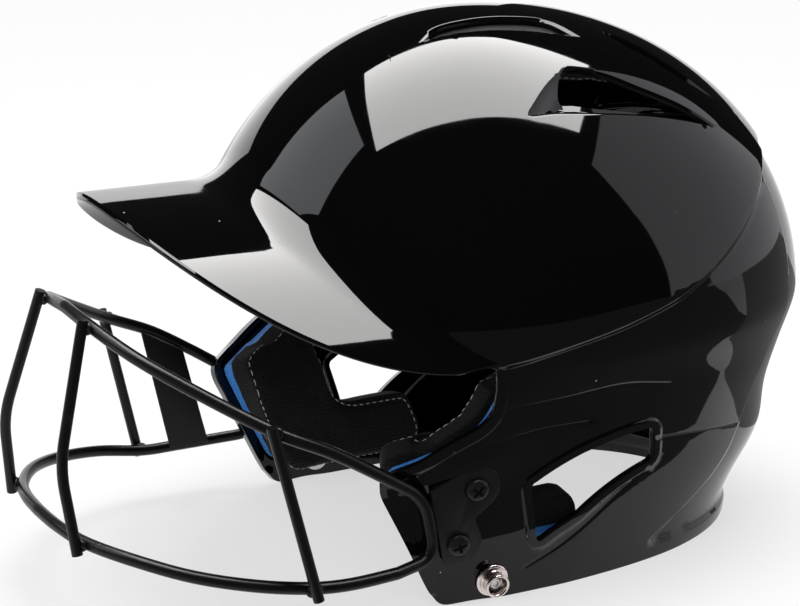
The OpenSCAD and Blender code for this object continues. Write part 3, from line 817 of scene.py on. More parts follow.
def spread(tree, value, low, high, to_low=0.0, to_high=1.0):
    """Map a range of values to another, and stop at its ends."""
    return joined_node(tree, "ShaderNodeMapRange", None, Value=value, From_Min=low, From_Max=high,
                       To_Min=to_low, To_Max=to_high).outputs[0]


def node_group(name, inputs, outputs):
    """A group with named numbers going in and out, and a vector for the place."""
    tree = bpy.data.node_groups.new(name, "ShaderNodeTree")
    tree.interface.new_socket("Place", in_out="INPUT", socket_type="NodeSocketVector")
    for socket in inputs:
        tree.interface.new_socket(socket, in_out="INPUT", socket_type="NodeSocketFloat")
    for socket in outputs:
        tree.interface.new_socket(socket, in_out="OUTPUT", socket_type="NodeSocketFloat")
    return tree, tree.nodes.new("NodeGroupInput").outputs, tree.nodes.new("NodeGroupOutput").inputs


# %% Dust specks and rubbed patches
dust_group, given, put = node_group("dust_specks", ["Per Metre", "Speck Size", "Share"], ["Mask"])
cells = joined_node(dust_group, "ShaderNodeTexVoronoi", None, Vector=given["Place"], Scale=given["Per Metre"])
near_speck = math_node(dust_group, "LESS_THAN", cells.outputs["Distance"], given["Speck Size"])
cell_value = joined_node(dust_group, "ShaderNodeSeparateColor", None, Color=cells.outputs["Color"]).outputs[0]
has_speck = math_node(dust_group, "LESS_THAN", cell_value, given["Share"])
dust_group.links.new(math_node(dust_group, "MULTIPLY", near_speck, has_speck), put["Mask"])

rub_group, given, put = node_group("rubbed_patches", ["Per Metre", "Threshold", "Softness"], ["Mask"])
patches = joined_node(rub_group, "ShaderNodeTexNoise", None, Vector=given["Place"], Scale=given["Per Metre"],
                      Detail=5.0, Roughness=0.62)
top = math_node(rub_group, "ADD", given["Threshold"], given["Softness"])
rub_group.links.new(spread(rub_group, patches.outputs[0], given["Threshold"], top), put["Mask"])
print("groups so far:", [group.name for group in bpy.data.node_groups])

# %% Fine grain
grain_group, given, put = node_group("fine_grain", ["Per Metre", "Pits"], ["Height"])
lumps = joined_node(grain_group, "ShaderNodeTexNoise", None, Vector=given["Place"], Scale=given["Per Metre"],
                    Detail=3.0, Roughness=0.55)
pits = joined_node(grain_group, "ShaderNodeTexVoronoi", None, Vector=given["Place"], Scale=given["Per Metre"])
hollow = spread(grain_group, pits.outputs["Distance"], 0.0, 0.4, 1.0, 0.0)
pit_depth = math_node(grain_group, "MULTIPLY", hollow, given["Pits"])
grain_group.links.new(math_node(grain_group, "SUBTRACT", lumps.outputs[0], pit_depth), put["Height"])
print("sockets of the grain:", [item.name for item in grain_group.interface.items_tree])

# %% [markdown]
# A knit is rows of small loops. Seen close, each loop is a V, so its yarn runs up to the left
# on one side of a column and up to the right on the other. Two waves are enough: one along
# the column, pushed up and down by how far we are from the column's middle.

# %% Knitted loops
knit_group, given, put = node_group("knit_loops", ["Loops Per Metre"], ["Height", "Fuzz"])
axes = joined_node(knit_group, "ShaderNodeSeparateXYZ", None, Vector=given["Place"]).outputs
across = math_node(knit_group, "ADD", axes[0], axes[1])
column = math_node(knit_group, "MULTIPLY", across, given["Loops Per Metre"])
in_column = math_node(knit_group, "FRACT", column)
from_middle = math_node(knit_group, "ABSOLUTE", math_node(knit_group, "SUBTRACT", in_column, 0.5))
row = math_node(knit_group, "MULTIPLY", axes[2], given["Loops Per Metre"])
wave = math_node(knit_group, "MULTIPLY", math_node(knit_group, "ADD", row, from_middle), 2 * math.pi)
yarn = spread(knit_group, math_node(knit_group, "SINE", wave), -1.0, 1.0, 0.3, 1.0)
gap = spread(knit_group, from_middle, 0.0, 0.16)
edge_gap = spread(knit_group, from_middle, 0.5, 0.36)
loop = math_node(knit_group, "MULTIPLY", math_node(knit_group, "MULTIPLY", gap, edge_gap), yarn)
fuzz = joined_node(knit_group, "ShaderNodeTexNoise", None, Vector=given["Place"], Scale=900.0, Detail=4.0)
knit_group.links.new(loop, put["Height"])
knit_group.links.new(fuzz.outputs[0], put["Fuzz"])
print("groups:", [group.name for group in bpy.data.node_groups])

# %% [markdown]
# Each finish starts from one Principled shader with its plain values set on it. Two helpers
# then do what all of them need: raise the surface by a height, and mix two colours by a mask.

# %% A finish and what every finish uses
def finish(name, colour, roughness, **sockets):
    """A Principled material. What is the same all over is set on the shader's own sockets."""
    material = bpy.data.materials.new(name)
    material.use_nodes = True
    tree = material.node_tree
    shader = tree.nodes["Principled BSDF"]
    shader.inputs["Base Color"].default_value = (*colour, 1)
    shader.inputs["Roughness"].default_value = roughness
    for socket, value in sockets.items():
        shader.inputs[socket.replace("_", " ")].default_value = value
    place = tree.nodes.new("ShaderNodeTexCoord").outputs["Object"]
    return material, tree, shader.inputs, place


def group_in(tree, group, place, **values):
    return joined_node(tree, "ShaderNodeGroup", {"node_tree": group}, Place=place, **values).outputs


def bumped(tree, sockets, height, depth, strength=1.0):
    """Raise the surface by a height that the texture gives, in metres."""
    bump = joined_node(tree, "ShaderNodeBump", None, Height=height, Distance=depth, Strength=strength)
    tree.links.new(bump.outputs[0], sockets["Normal"])


def tinted(tree, sockets, mask, colour, other):
    """Colour the surface by a mask, from one colour to the other."""
    mix = joined_node(tree, "ShaderNodeMix", {"data_type": "RGBA"})
    tree.links.new(mask, mix.inputs["Factor"])
    mix.inputs[6].default_value = (*colour, 1)
    mix.inputs[7].default_value = (*other, 1)
    tree.links.new(mix.outputs[2], sockets["Base Color"])


# %% [markdown]
# The shell is black with a hint of blue, polished, and it has hung in a shop: a few specks of
# dust, faint smudges that dull the gloss in patches, and the long soft ripple of a moulding.

# %% Gloss of the shell
SHELL_BLACK = (0.0014, 0.0014, 0.0017)
shell_gloss, tree, sockets, place = finish("shell_gloss", SHELL_BLACK, 0.03, IOR=1.37)
specks = group_in(tree, dust_group, place, Per_Metre=160.0, Speck_Size=0.055, Share=0.1)["Mask"]
tinted(tree, sockets, specks, SHELL_BLACK, (0.3, 0.31, 0.33))
smudges = group_in(tree, rub_group, place, Per_Metre=14.0, Threshold=0.5, Softness=0.25)["Mask"]
dulled = spread(tree, smudges, 0.0, 1.0, 0.028, 0.075)
speck_dull = math_node(tree, "MULTIPLY", specks, 0.6)
tree.links.new(math_node(tree, "MAXIMUM", dulled, speck_dull), sockets["Roughness"])
ripple = joined_node(tree, "ShaderNodeTexNoise", None, Vector=place, Scale=34.0, Detail=2.0)
bumped(tree, sockets, ripple.outputs[0], 0.00008, 0.5)
dressed(shell, shell_gloss, "shell_gloss", "shell")
print("shell dressed, box", [round(v / MM, 1) for v in (*shell.bound_box[0], *shell.bound_box[6])])

# %% [markdown]
# The wires are dipped in a black plastic coating, which is duller than the shell and rubs
# grey where it is handled. Plates, screws and washers get the same recipe with other numbers.
# Snaps, rivets and nuts are bare metal with turning marks and a little tarnish.

# %% Finishes of the guard and its fasteners
def coated(name, colour, roughness, grain, depth, worn, worn_share):
    """A black coating with a fine grain, rubbed lighter here and there."""
    material, tree, sockets, place = finish(name, colour, roughness, Specular_IOR_Level=0.22)
    height = group_in(tree, grain_group, place, Per_Metre=grain, Pits=0.25)["Height"]
    bumped(tree, sockets, height, depth)
    rubbed = group_in(tree, rub_group, place, Per_Metre=70.0, Threshold=worn_share, Softness=0.12)["Mask"]
    tinted(tree, sockets, rubbed, colour, worn)
    tree.links.new(spread(tree, rubbed, 0.0, 1.0, roughness, roughness * 0.72), sockets["Roughness"])
    return material


wire_coated = coated("wire_coated", (0.003, 0.003, 0.0034), 0.3, 1500.0, 0.00004, (0.012, 0.012, 0.013), 0.6)
plate_coated = coated("plate_coated", (0.005, 0.005, 0.0055), 0.45, 2200.0, 0.00003, (0.02, 0.02, 0.02), 0.62)
screw_black = coated("screw_black", (0.006, 0.006, 0.0065), 0.3, 2600.0, 0.00002, (0.05, 0.048, 0.045), 0.6)
washer_rubber = coated("washer_rubber", (0.009, 0.009, 0.009), 0.75, 1800.0, 0.00005,
                       (0.014, 0.014, 0.014), 0.58)


def bare_metal(name, colour, roughness, turned, depth):
    """Bright metal, with fine marks where it was turned and a little tarnish."""
    material, tree, sockets, place = finish(name, colour, roughness, Metallic=1.0)
    height = group_in(tree, grain_group, place, Per_Metre=turned, Pits=0.1)["Height"]
    bumped(tree, sockets, height, depth)
    tarnish = group_in(tree, rub_group, place, Per_Metre=260.0, Threshold=0.5, Softness=0.2)["Mask"]
    tinted(tree, sockets, tarnish, colour, tuple(c * 0.6 for c in colour))
    tree.links.new(spread(tree, tarnish, 0.0, 1.0, roughness, roughness + 0.14), sockets["Roughness"])
    return material


snap_chrome = bare_metal("snap_chrome", (0.78, 0.70, 0.68), 0.09, 900.0, 0.00002)
rivet_steel = bare_metal("rivet_steel", (0.62, 0.60, 0.58), 0.2, 1600.0, 0.00003)
nut_steel = bare_metal("nut_steel", (0.5, 0.5, 0.5), 0.32, 1900.0, 0.00003)
print("metals:", snap_chrome.name, rivet_steel.name, nut_steel.name)

# %% [markdown]
# The foam's cut edge shows its open cells, so its colour and height both follow the grain.
# The knit is nearly black. Where a hand has pressed it, the fibres' sheen is painted into its colour as
# lighter patches.

# %% Finishes of the foam, the knit and its thread
FOAM_BLUE = (0.03, 0.185, 0.56)
foam_blue, tree, sockets, place = finish("foam_blue", FOAM_BLUE, 0.72)
height = group_in(tree, grain_group, place, Per_Metre=1100.0, Pits=0.7)["Height"]
bumped(tree, sockets, height, 0.00012)
tinted(tree, sockets, spread(tree, height, 0.1, 0.7), (0.018, 0.12, 0.4), (0.04, 0.215, 0.62))

KNIT_BLACK = (0.002, 0.002, 0.0022)
pad_knit, tree, sockets, place = finish("pad_knit", KNIT_BLACK, 0.88, Sheen_Weight=0.04, Sheen_Roughness=0.5)
sockets["Specular IOR Level"].default_value = 0.25
loops = group_in(tree, knit_group, place, Loops_Per_Metre=620.0)
fibres = math_node(tree, "MULTIPLY", loops["Fuzz"], 0.5)
bumped(tree, sockets, math_node(tree, "ADD", loops["Height"], fibres), 0.0003)
# Pressed patches are real wear, but the lighter colour on their fuzz is a painted sheen, not the knit's own
# colour.
pressed_sheen_patches = group_in(tree, rub_group, place, Per_Metre=38.0, Threshold=0.48, Softness=0.22)["Mask"]
painted_fibre_sheen = math_node(tree, "MULTIPLY", pressed_sheen_patches, spread(tree, loops["Fuzz"], 0.42, 0.62))
tinted(tree, sockets, painted_fibre_sheen, KNIT_BLACK, (0.014, 0.014, 0.0145))

thread_grey, tree, sockets, place = finish("thread_grey", (0.42, 0.42, 0.42), 0.8)
twist = group_in(tree, grain_group, place, Per_Metre=3200.0, Pits=0.4)["Height"]
bumped(tree, sockets, twist, 0.0001)
tinted(tree, sockets, spread(tree, twist, 0.1, 0.7), (0.22, 0.22, 0.22), (0.55, 0.55, 0.54))
print("finishes:", [material.name for material in bpy.data.materials if material.users])

# %% [markdown]
# The face guard is one bent wire, closed into a loop, with four uprights welded on. A wire
# could be extruded step by step in edit mode. But a curve with a round section is how a
# wire is bent on the bench: we place the bends, and the section follows. The same points
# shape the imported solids, so the dressed wire lies exactly where they are.

# %% Route of the guard's wires, in millimetres
RAIL_D, BAR_D, BAR_OVER, WELD_GAP = 4.6, 4.1, 3.0, 0.05
GUARD_HALF = GUARD_SEAT.x + 0.9


def on_guard(points):
    """Points given as percent of the half-width, way behind the screws, and height."""
    return [np.array([x * GUARD_HALF / 100, y + GUARD_SEAT.y, z]) for x, y, z in points]


top_rail = on_guard([(0, -118.7, 111), (26.3, -116.7, 108.5), (54, -108.2, 101.5), (75.5, -91.7, 91),
                     (93.5, -72.7, 80), (99.4, -53.7, 71), (100, -35.7, 60)])
top_corner, low_corner = on_guard([(97.7, -16.7, 47.5), (93.6, -10.2, 22.5)])
low_rail = on_guard([(98.2, -27.7, 21), (98.8, -45.7, 20.7), (97, -60.7, 21.5), (94, -80.7, 25.3),
                     (82.6, -100.2, 29), (63.5, -116.2, 32.5), (40.7, -126.7, 34.2), (20.4, -131, 35.5),
                     (0, -132.2, 36)])


def smooth_run(p, steps):
    """A smooth curve through points, a few steps to each span."""
    out = []
    for k in range(len(p) - 1):
        a, b, c, d = p[max(k - 1, 0)], p[k], p[k + 1], p[min(k + 2, len(p) - 1)]
        for t in np.arange(steps) / steps:
            out.append(0.5 * (2 * b + (c - a) * t + (2 * a - 5 * b + 4 * c - d) * t ** 2
                              + (3 * b - a - 3 * c + d) * t ** 3))
    return out


def turned_corner(v, before, after, run=9.0):
    a, b = (v + run * (p - v) / np.linalg.norm(p - v) for p in (before, after))
    return [(1 - t) ** 2 * a + 2 * t * (1 - t) * v + t * t * b for t in np.linspace(0, 1, 9)]


half_loop = [*smooth_run(top_rail, 8), top_rail[-1], *turned_corner(top_corner, top_rail[-1], low_corner),
             *turned_corner(low_corner, top_corner, low_rail[0]), *smooth_run(low_rail, 6), low_rail[-1]]
loop_route = half_loop + [p * (-1, 1, 1) for p in half_loop[-2:0:-1]]
print("points on the loop:", len(loop_route))


# %% Bend a wire along a route
def bent_wire(name, route, diameter, closed=False):
    """A round wire along points. Its cut ends are filled and broken with a small bevel."""
    nothing_selected()
    bpy.ops.curve.primitive_nurbs_path_add()
    curve = bpy.context.object
    curve.name = curve.data.name = name
    data = curve.data
    data.splines.clear()
    spline = data.splines.new("POLY")
    spline.points.add(len(route) - 1)
    spline.points.foreach_set("co", [v for p in route for v in (*(np.array(p) * MM), 1)])
    spline.use_cyclic_u = closed
    data.dimensions, data.bevel_depth, data.bevel_resolution = "3D", diameter * MM / 2, 5
    data.use_fill_caps = not closed
    bpy.ops.object.convert(target="MESH")
    wire = bpy.context.object
    if not closed:
        bevelled(wire, "broken edge", 0.5, 2, 50)
        apply_all(wire)
    only(wire)
    smooth_below(40)
    return wire


loop_wire = bent_wire("guard_loop", loop_route, RAIL_D, closed=True)
dressed(loop_wire, wire_coated, "wire_coated", "mask_loop")
print("loop faces:", len(loop_wire.data.polygons))

# %% [markdown]
# A welded joint on a coated guard is a soft swelling where wire meets wire. We start each
# from a sphere, draw it out along the crossing, and join it to its upright.

# %% Weld beads
def bead(place, along, out, size):
    """A weld bead: a sphere drawn out along one direction and flattened on another."""
    nothing_selected()
    bpy.ops.mesh.primitive_uv_sphere_add(segments=20, ring_count=12, radius=1)
    piece = bpy.context.object
    along = Vector(along).normalized()
    out = (Vector(out) - Vector(out).dot(along) * along).normalized()
    frame_of = Matrix((along, out, along.cross(out))).transposed().to_4x4()
    scale = Matrix.Diagonal((*[s * MM for s in size], 1))
    piece.data.transform(Matrix.Translation(Vector(place) * MM) @ frame_of @ scale)
    piece.data.shade_smooth()
    return piece


def joined(pieces, name):
    nothing_selected()
    for piece in pieces:
        piece.select_set(True)
    bpy.context.view_layer.objects.active = pieces[0]
    bpy.ops.object.join()
    whole = bpy.context.object
    whole.name = whole.data.name = name
    return whole


def mirrored_copy(piece, name):
    """The same piece on the wearer's right, its faces turned the right way round again."""
    copy = copy_of(piece, name)
    copy.data.transform(Matrix.Scale(-1, 4, (1, 0, 0)))
    copy.data.flip_normals()
    return copy


# %% [markdown]
# An upright lies on the outside of both rails and runs a little past each. The outer two are
# straight, and the inner two bend once on their way down. The right ones are mirrored copies.

# %% The uprights
def off_rail(p, out):
    out = np.array(out, float)
    return p + ((RAIL_D + BAR_D) / 2 + WELD_GAP) * out / np.linalg.norm(out)


def past(p, q):
    return p + BAR_OVER * (p - q) / np.linalg.norm(p - q)


def upright(name, top, foot, top_out, foot_out, bend=None):
    """A wire welded on two rails, each way out of its rail given, with its weld beads."""
    ends = off_rail(top, top_out), off_rail(foot, foot_out)
    if bend is None:
        between = [ends[0] + (ends[1] - ends[0]) * t for t in np.linspace(0.1, 0.9, 9)]
        route = [past(*ends), *between, past(*ends[::-1])]
    else:
        route = [past(ends[0], bend), *turned_corner(bend, *ends), past(ends[1], bend)]
    bar = bent_wire(name, route, BAR_D)
    along = route[0] - route[-1]
    beads = []
    for joint, out in ((top, top_out), (foot, foot_out)):
        contact = joint + np.array(out) / np.linalg.norm(out) * (RAIL_D / 2 + 0.1)
        beads.append(bead(contact, np.cross(along, out), out, (3.3, 1.5, 2.5)))
    return joined([bar, *beads], name)


center_bend = on_guard([(37.4, -133.8, 62.6)])[0]
bars = {"center": upright("upright_center_left", top_rail[1], low_rail[6], (0.22, -1, 0.1), (0.4, -1, -0.1),
                          center_bend),
        "side": upright("upright_side_left", top_rail[4], low_rail[2], (1, -0.6, 0.1), (1, -0.1, -0.05))}
for kind, bar in bars.items():
    other = mirrored_copy(bar, f"upright_{kind}_right")
    dressed(bar, wire_coated, "wire_coated", f"mask_bar_{kind}_left")
    dressed(other, wire_coated, "wire_coated", f"mask_bar_{kind}_right")
print("uprights:", {kind: len(bar.data.polygons) for kind, bar in bars.items()})

# %% [markdown]
# The plates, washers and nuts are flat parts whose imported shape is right, but its edges are
# razor sharp. We copy each, merge its loose triangles, clear the flat faces of spare edges,
# and break every edge with a bevel. A stamped part always has that small round.

# %% Plates, washers and nuts with broken edges
def broken_edges(node, name, width):
    """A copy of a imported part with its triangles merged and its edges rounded."""
    piece = copy_of(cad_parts[node], name)
    only(piece)
    bpy.ops.object.mode_set(mode="EDIT")
    bpy.ops.mesh.select_all(action="SELECT")
    bpy.ops.mesh.remove_doubles(threshold=0.00001)
    bpy.ops.mesh.dissolve_limited(angle_limit=math.radians(0.6))
    bpy.ops.mesh.normals_make_consistent(inside=False)
    bpy.ops.object.mode_set(mode="OBJECT")
    bevelled(piece, "broken edge", width, 2, 35)
    apply_all(piece)
    smooth_below(40)
    return piece


for side in ("left", "right"):
    for kind, width, material, slot in (("plate", 0.4, plate_coated, "plate_coated"),
                                        ("washers", 0.25, washer_rubber, "washer_rubber"),
                                        ("nuts", 0.2, nut_steel, "nut_steel")):
        piece = broken_edges(f"mask_{kind}_{side}", f"guard_{kind}_{side}", width)
        dressed(piece, material, slot, f"mask_{kind}_{side}")
label_plate = broken_edges("mask_label_plate", "blank_plate", 0.35)
dressed(label_plate, plate_coated, "plate_coated", "mask_label_plate")

# %% The weld between wire and plate
def plate_weld():
    """Two short runs of weld along the straight of the wire, on the side of the plate."""
    back = seat_axes(GUARD_NORMAL)[0]
    start, run = Vector(low_corner), Vector(top_corner) - Vector(low_corner)
    inwards = (back - back.dot(run.normalized()) * run.normalized()).normalized()
    seam_at = start + inwards * 2.1 - GUARD_NORMAL * 0.9
    return [bead(seam_at + run * share, run, GUARD_NORMAL, (4.6, 1.3, 1.5)) for share in (0.42, 0.74)]


weld = joined(plate_weld(), "plate_weld_left")
dressed(mirrored_copy(weld, "plate_weld_right"), wire_coated, "wire_coated")
dressed(weld, wire_coated, "wire_coated")
print("weld faces:", len(weld.data.polygons))

# %% [markdown]
# Screw, snap and rivet are turned parts, so each is spun from its outline: half of its
# section, swept once round its axis. The poles are closed by merging their doubled points.
# The screw's recess is cut with two tapered blades, as the driver would fill it.

# %% Turned parts
def turned(name, outline, steps=40, soften=0, closed=False):
    """Spin an outline of (radius, height) in millimetres round the Z axis."""
    count = len(outline)
    links = [(k, (k + 1) % count) for k in range(count if closed else count - 1)]
    piece = new_piece(name, [(r * MM, 0, h * MM) for r, h in outline], [], links)
    only(piece)
    bpy.ops.object.mode_set(mode="EDIT")
    bpy.ops.mesh.select_all(action="SELECT")
    bpy.ops.mesh.spin(steps=steps, angle=2 * math.pi, center=(0, 0, 0), axis=(0, 0, 1))
    bpy.ops.object.mode_set(mode="OBJECT")
    faces_outwards(merge=0.004 * MM)
    if soften:
        smooth = piece.modifiers.new("soft edges", "SUBSURF")
        smooth.levels = smooth.render_levels = soften
        apply_all(piece)
    only(piece)
    smooth_below(38)
    return piece


def seat_matrix(place, normal, lift=0.0, turn=0.0):
    """Moves a part made on the origin to its seat: +Z out of the flap, +X to the rear."""
    back, up = seat_axes(normal)
    axes = Matrix((back, up, normal)).transposed().to_4x4()
    return (Matrix.Translation((Vector(place) + normal * lift) * MM) @ axes
            @ Matrix.Rotation(turn, 4, "Z"))


def placed(piece, name, matrix):
    copy = copy_of(piece, name)
    copy.data.transform(matrix)
    return copy


print("plate's outer face:", round(GUARD_SEAT.x, 1), "mm from the middle")

# %% Screws with a cross recess
WASHER, PLATE, PLAY = 1.0, 1.8, 0.2
FLAP_LEVEL = -(RAIL_D / 2 + 0.1) * GUARD_NORMAL.x
PLATE_TOP = FLAP_LEVEL + WASHER + PLATE + PLAY
SHANK_END = -8.5
screw_outline = [(0, 2.55), (1.6, 2.5), (2.9, 2.25), (3.8, 1.75), (4.3, 1.05), (4.4, 0.5), (4.35, 0.1),
                 (4.2, 0), (2.0, 0), (2.0, SHANK_END + 0.5), (1.5, SHANK_END), (0, SHANK_END)]
screw = turned("screw", screw_outline, steps=48)


def blade(turn):
    """A tapered blade: 6.4 mm across at its top and half as much at its foot."""
    nothing_selected()
    bpy.ops.mesh.primitive_cube_add(size=1, location=(0, 0, 1.9 * MM))
    piece = bpy.context.object
    piece.scale = (6.4 * MM, 1.25 * MM, 3.0 * MM)
    bpy.ops.object.transform_apply(location=True, rotation=True, scale=True)
    for v in piece.data.vertices:
        if v.co.z < 1.9 * MM:
            v.co.x *= 0.5
            v.co.y *= 0.72
    piece.data.transform(Matrix.Rotation(turn, 4, "Z"))
    return piece


for turn in (0.35, 0.35 + math.pi / 2):
    cutter = blade(turn)
    cut = screw.modifiers.new("recess", "BOOLEAN")
    cut.object, cut.operation, cut.solver = cutter, "DIFFERENCE", "EXACT"
    apply_all(screw)
    bpy.data.objects.remove(cutter)
bevelled(screw, "recess edge", 0.12, 2, 55)
apply_all(screw)
smooth_below(38)
pair = [placed(screw, f"screw_{k}", seat_matrix(p, GUARD_NORMAL, PLATE_TOP, 0.5 * k))
        for k, p in enumerate(screw_places())]
screws = joined(pair, "guard_screws_left")
other = mirrored_copy(screws, "guard_screws_right")
dressed(screws, screw_black, "screw_black", "mask_screws_left")
dressed(other, screw_black, "screw_black", "mask_screws_right")
bpy.data.objects.remove(screw)
print("screw faces:", len(screws.data.polygons))

# %% Chin-strap snaps and their rivets
stud_outline = [(2.3, 0.1), (5.9, 0), (6.45, 0.3), (6.5, 0.8), (6.1, 1.3), (5.5, 1.45), (5.1, 1.2),
                (4.7, 1.15), (4.25, 1.6), (4.05, 2.4), (4.05, 4.1), (4.3, 4.7), (4.72, 5.15), (4.75, 5.6),
                (4.4, 5.95), (3.95, 5.95), (3.65, 5.6), (3.5, 5.0), (3.2, 4.4), (3.12, 3.0), (2.85, 2.65),
                (2.3, 2.55)]
rivet_outline = [(0, 3.4), (0.9, 3.3), (1.2, 3.65), (1.8, 3.7), (2.15, 3.3), (2.2, 2.6), (2.2, -3.6),
                 (5.6, -3.6), (6.0, -3.9), (5.8, -4.4), (4.6, -4.8), (0, -4.8)]
stud = turned("snap", stud_outline, steps=28, soften=1, closed=True)
rivet = turned("rivet", rivet_outline, steps=28)
for piece, name, node, material, slot in ((stud, "snap_stud", "chin_snap", snap_chrome, "snap_chrome"),
                                          (rivet, "snap_pin", "snap_rivet", rivet_steel, "rivet_steel")):
    left = placed(piece, f"{name}_left", seat_matrix(SNAP_SEAT, SNAP_NORMAL))
    right = mirrored_copy(left, f"{name}_right")
    dressed(left, material, slot, f"{node}_left")
    dressed(right, material, slot, f"{node}_right")
    bpy.data.objects.remove(piece)

# %% [markdown]
# Each cheek flap is lined with a sheet of blue foam and a thick pad in black knit, glued on
# one over the other. Both wrap round the ear hole like a C. We draw such a piece flat, as
# it is cut, and then bend it onto the wall: its third coordinate is its depth below the
# shell's outer skin.

# %% Lay flat shapes on the walls
def flap_wall(y, z):
    """The plain skin of the left flap, by how far back and how high."""
    start = np.c_[0 * y, y, z]
    x = reach_of(band_level, start, np.tile([1.0, 0, 0], (len(y), 1)), 0, 140)
    return np.c_[x, y, z]


def dome_wall(middle_turn, radius):
    """The dome's skin round an angle from the back, by the run round it and the height."""
    def wall(u, z):
        turn = math.radians(middle_turn) + u / radius
        length = np.where(np.cos(turn) > 0, REAR, FRONT)
        heading = np.c_[HALF_W * np.sin(turn), length * np.cos(turn), 0 * turn]
        heading = heading / np.linalg.norm(heading, axis=1, keepdims=True)
        start = np.c_[0 * u, 0 * u + MIDDLE, z]
        return start + heading * reach_of(dome_level, start, heading, 0, 200)[:, None]
    return wall


def crown_wall(x, y):
    start = np.c_[x, y, 0 * x + 100]
    height = reach_of(dome_level, start, np.tile([0, 0, 1.0], (len(x), 1)), 0, 140)
    return start + np.c_[0 * x, 0 * x, height]


def laid_on(wall, flat):
    """Bend a flat shape onto a wall, each point at its own depth under the skin."""
    u, v, depth = np.array(flat, float).T
    base = wall(u, v)
    inwards = np.cross(wall(u + 0.5, v) - wall(u - 0.5, v), wall(u, v + 0.5) - wall(u, v - 0.5))
    inwards = inwards / np.linalg.norm(inwards, axis=1, keepdims=True)
    inwards *= np.sign(np.sum(inwards * (CORE - base), axis=1))[:, None]
    return base + inwards * depth[:, None]


def bend_onto(piece, wall):
    """Move a flat piece, made in metres, to its place on the wall."""
    move_points(piece, laid_on(wall, points_of(piece) / MM) * MM)
    only(piece)
    faces_outwards()


print("flap's skin beside the ear:", np.round(flap_wall(np.array([0.0]), np.array([60.0])), 1))

# %% Cut a flat sheet
def evenly(corners, radius, step):
    """A closed outline with round corners, its points a set distance apart."""
    line = np.array([p[:2] for p in rounded([(*c, 0) for c in corners], radius)])
    line = np.vstack([line, line[:1]])
    run = np.r_[0, np.cumsum(np.linalg.norm(np.diff(line, axis=0), axis=1))]
    at = np.linspace(0, run[-1], round(run[-1] / step) + 1)[:-1]
    return np.c_[np.interp(at, run, line[:, 0]), np.interp(at, run, line[:, 1])]


def cut_sheet(name, outline, depth, thick, spacing=3.0, holes=()):
    """A flat sheet inside an outline, filled with even triangles and given a thickness."""
    low, high = outline.min(axis=0), outline.max(axis=0)
    x, y = np.meshgrid(np.arange(low[0], high[0], spacing), np.arange(low[1], high[1], spacing * 0.87))
    x = x + spacing / 2 * (np.arange(len(x)) % 2)[:, None]
    grid = np.c_[x.ravel(), y.ravel()]
    loops = [outline, *holes]
    edges = tree_of(np.vstack([np.c_[loop, 0 * loop[:, 0]] for loop in loops]))
    inside = within(outline, grid) & clear_of(edges, np.c_[grid, 0 * grid[:, 0]], spacing * 0.6)
    for hole in holes:
        inside &= ~within(hole, grid)
    flat, sides = [], []
    for loop in loops:
        sides += [(len(flat) + k, len(flat) + (k + 1) % len(loop)) for k in range(len(loop))]
        flat += [Vector(p) for p in loop]
    flat += [Vector(p) for p in grid[inside]]
    found = geometry.delaunay_2d_cdt(flat, sides, [], 0, 1e-4)
    spots = np.array([tuple(v) for v in found[0]])
    cells = np.array(found[2])
    middle = spots[cells].mean(axis=1)
    kept = within(outline, middle)
    for hole in holes:
        kept &= ~within(hole, middle)
    piece = new_piece(name, [(a * MM, b * MM, depth * MM) for a, b in spots], cells[kept].tolist())
    wall = piece.modifiers.new("thickness", "SOLIDIFY")
    wall.thickness, wall.offset = thick * MM, 1
    apply_all(piece)
    return piece


# %% [markdown]
# The foam is cut from a flat blue sheet and fills the flap to a few millimetres from its
# edge. Round the nuts it is cut away, so that they can be turned.

# %% The blue foam
FOAM_UNDER, FOAM_THICK = 3.7, 5.2
foam_cut = [(-10, 83), (-13.6, 78), (-18.6, 70.6), (-44.6, 56), (-52.6, 52.8), (-51.4, 48.5), (-33.6, 13),
            (-28, 10.5), (26, 10.5), (30, 14), (29, 18), (24, 21), (2, 21), (-8, 34), (-13, 50), (-9, 60),
            (0, 63), (40, 69), (44, 73), (44, 80), (40, 83)]


def fastener_room(place, normal, radius=7.2):
    """Where the foam is cut away round a nut."""
    centre = Vector(place) - normal * 6
    turn = np.linspace(0, 2 * math.pi, 24, endpoint=False)
    return np.c_[centre.y + radius * np.cos(turn), centre.z + radius * np.sin(turn)]


rooms = [fastener_room(p, GUARD_NORMAL) for p in screw_places()]
foam = cut_sheet("ear_foam_sheet_left", evenly(foam_cut, 5, 2.0), FOAM_UNDER, FOAM_THICK, holes=rooms)
bend_onto(foam, flap_wall)
bevelled(foam, "soft cut edge", 0.5, 2, 50)
apply_all(foam)
smooth_below(40)
other = mirrored_copy(foam, "ear_foam_sheet_right")
for piece, side in ((foam, "left"), (other, "right")):
    dressed(piece, foam_blue, "foam_blue", f"ear_foam_{side}")
print("foam box:", [round(v / MM, 1) for v in (*foam.bound_box[0], *foam.bound_box[6])])

# %% [markdown]
# A pad is foam in a knit cover, sewn all round. The cover pulls the edges in, and the foam
# pushes the faces out. So we blow the flat shape up a little as cloth, on a mesh of even
# cells, and cap how far any point may move. The seam comes after: the face is drawn in
# along it, and the stitches lie in that furrow.

# %% Blow up a pad
VOXEL, MOST_MOVE, PRESSURE, CLOTH_STEPS = 2.6, 1.2, 4, 20


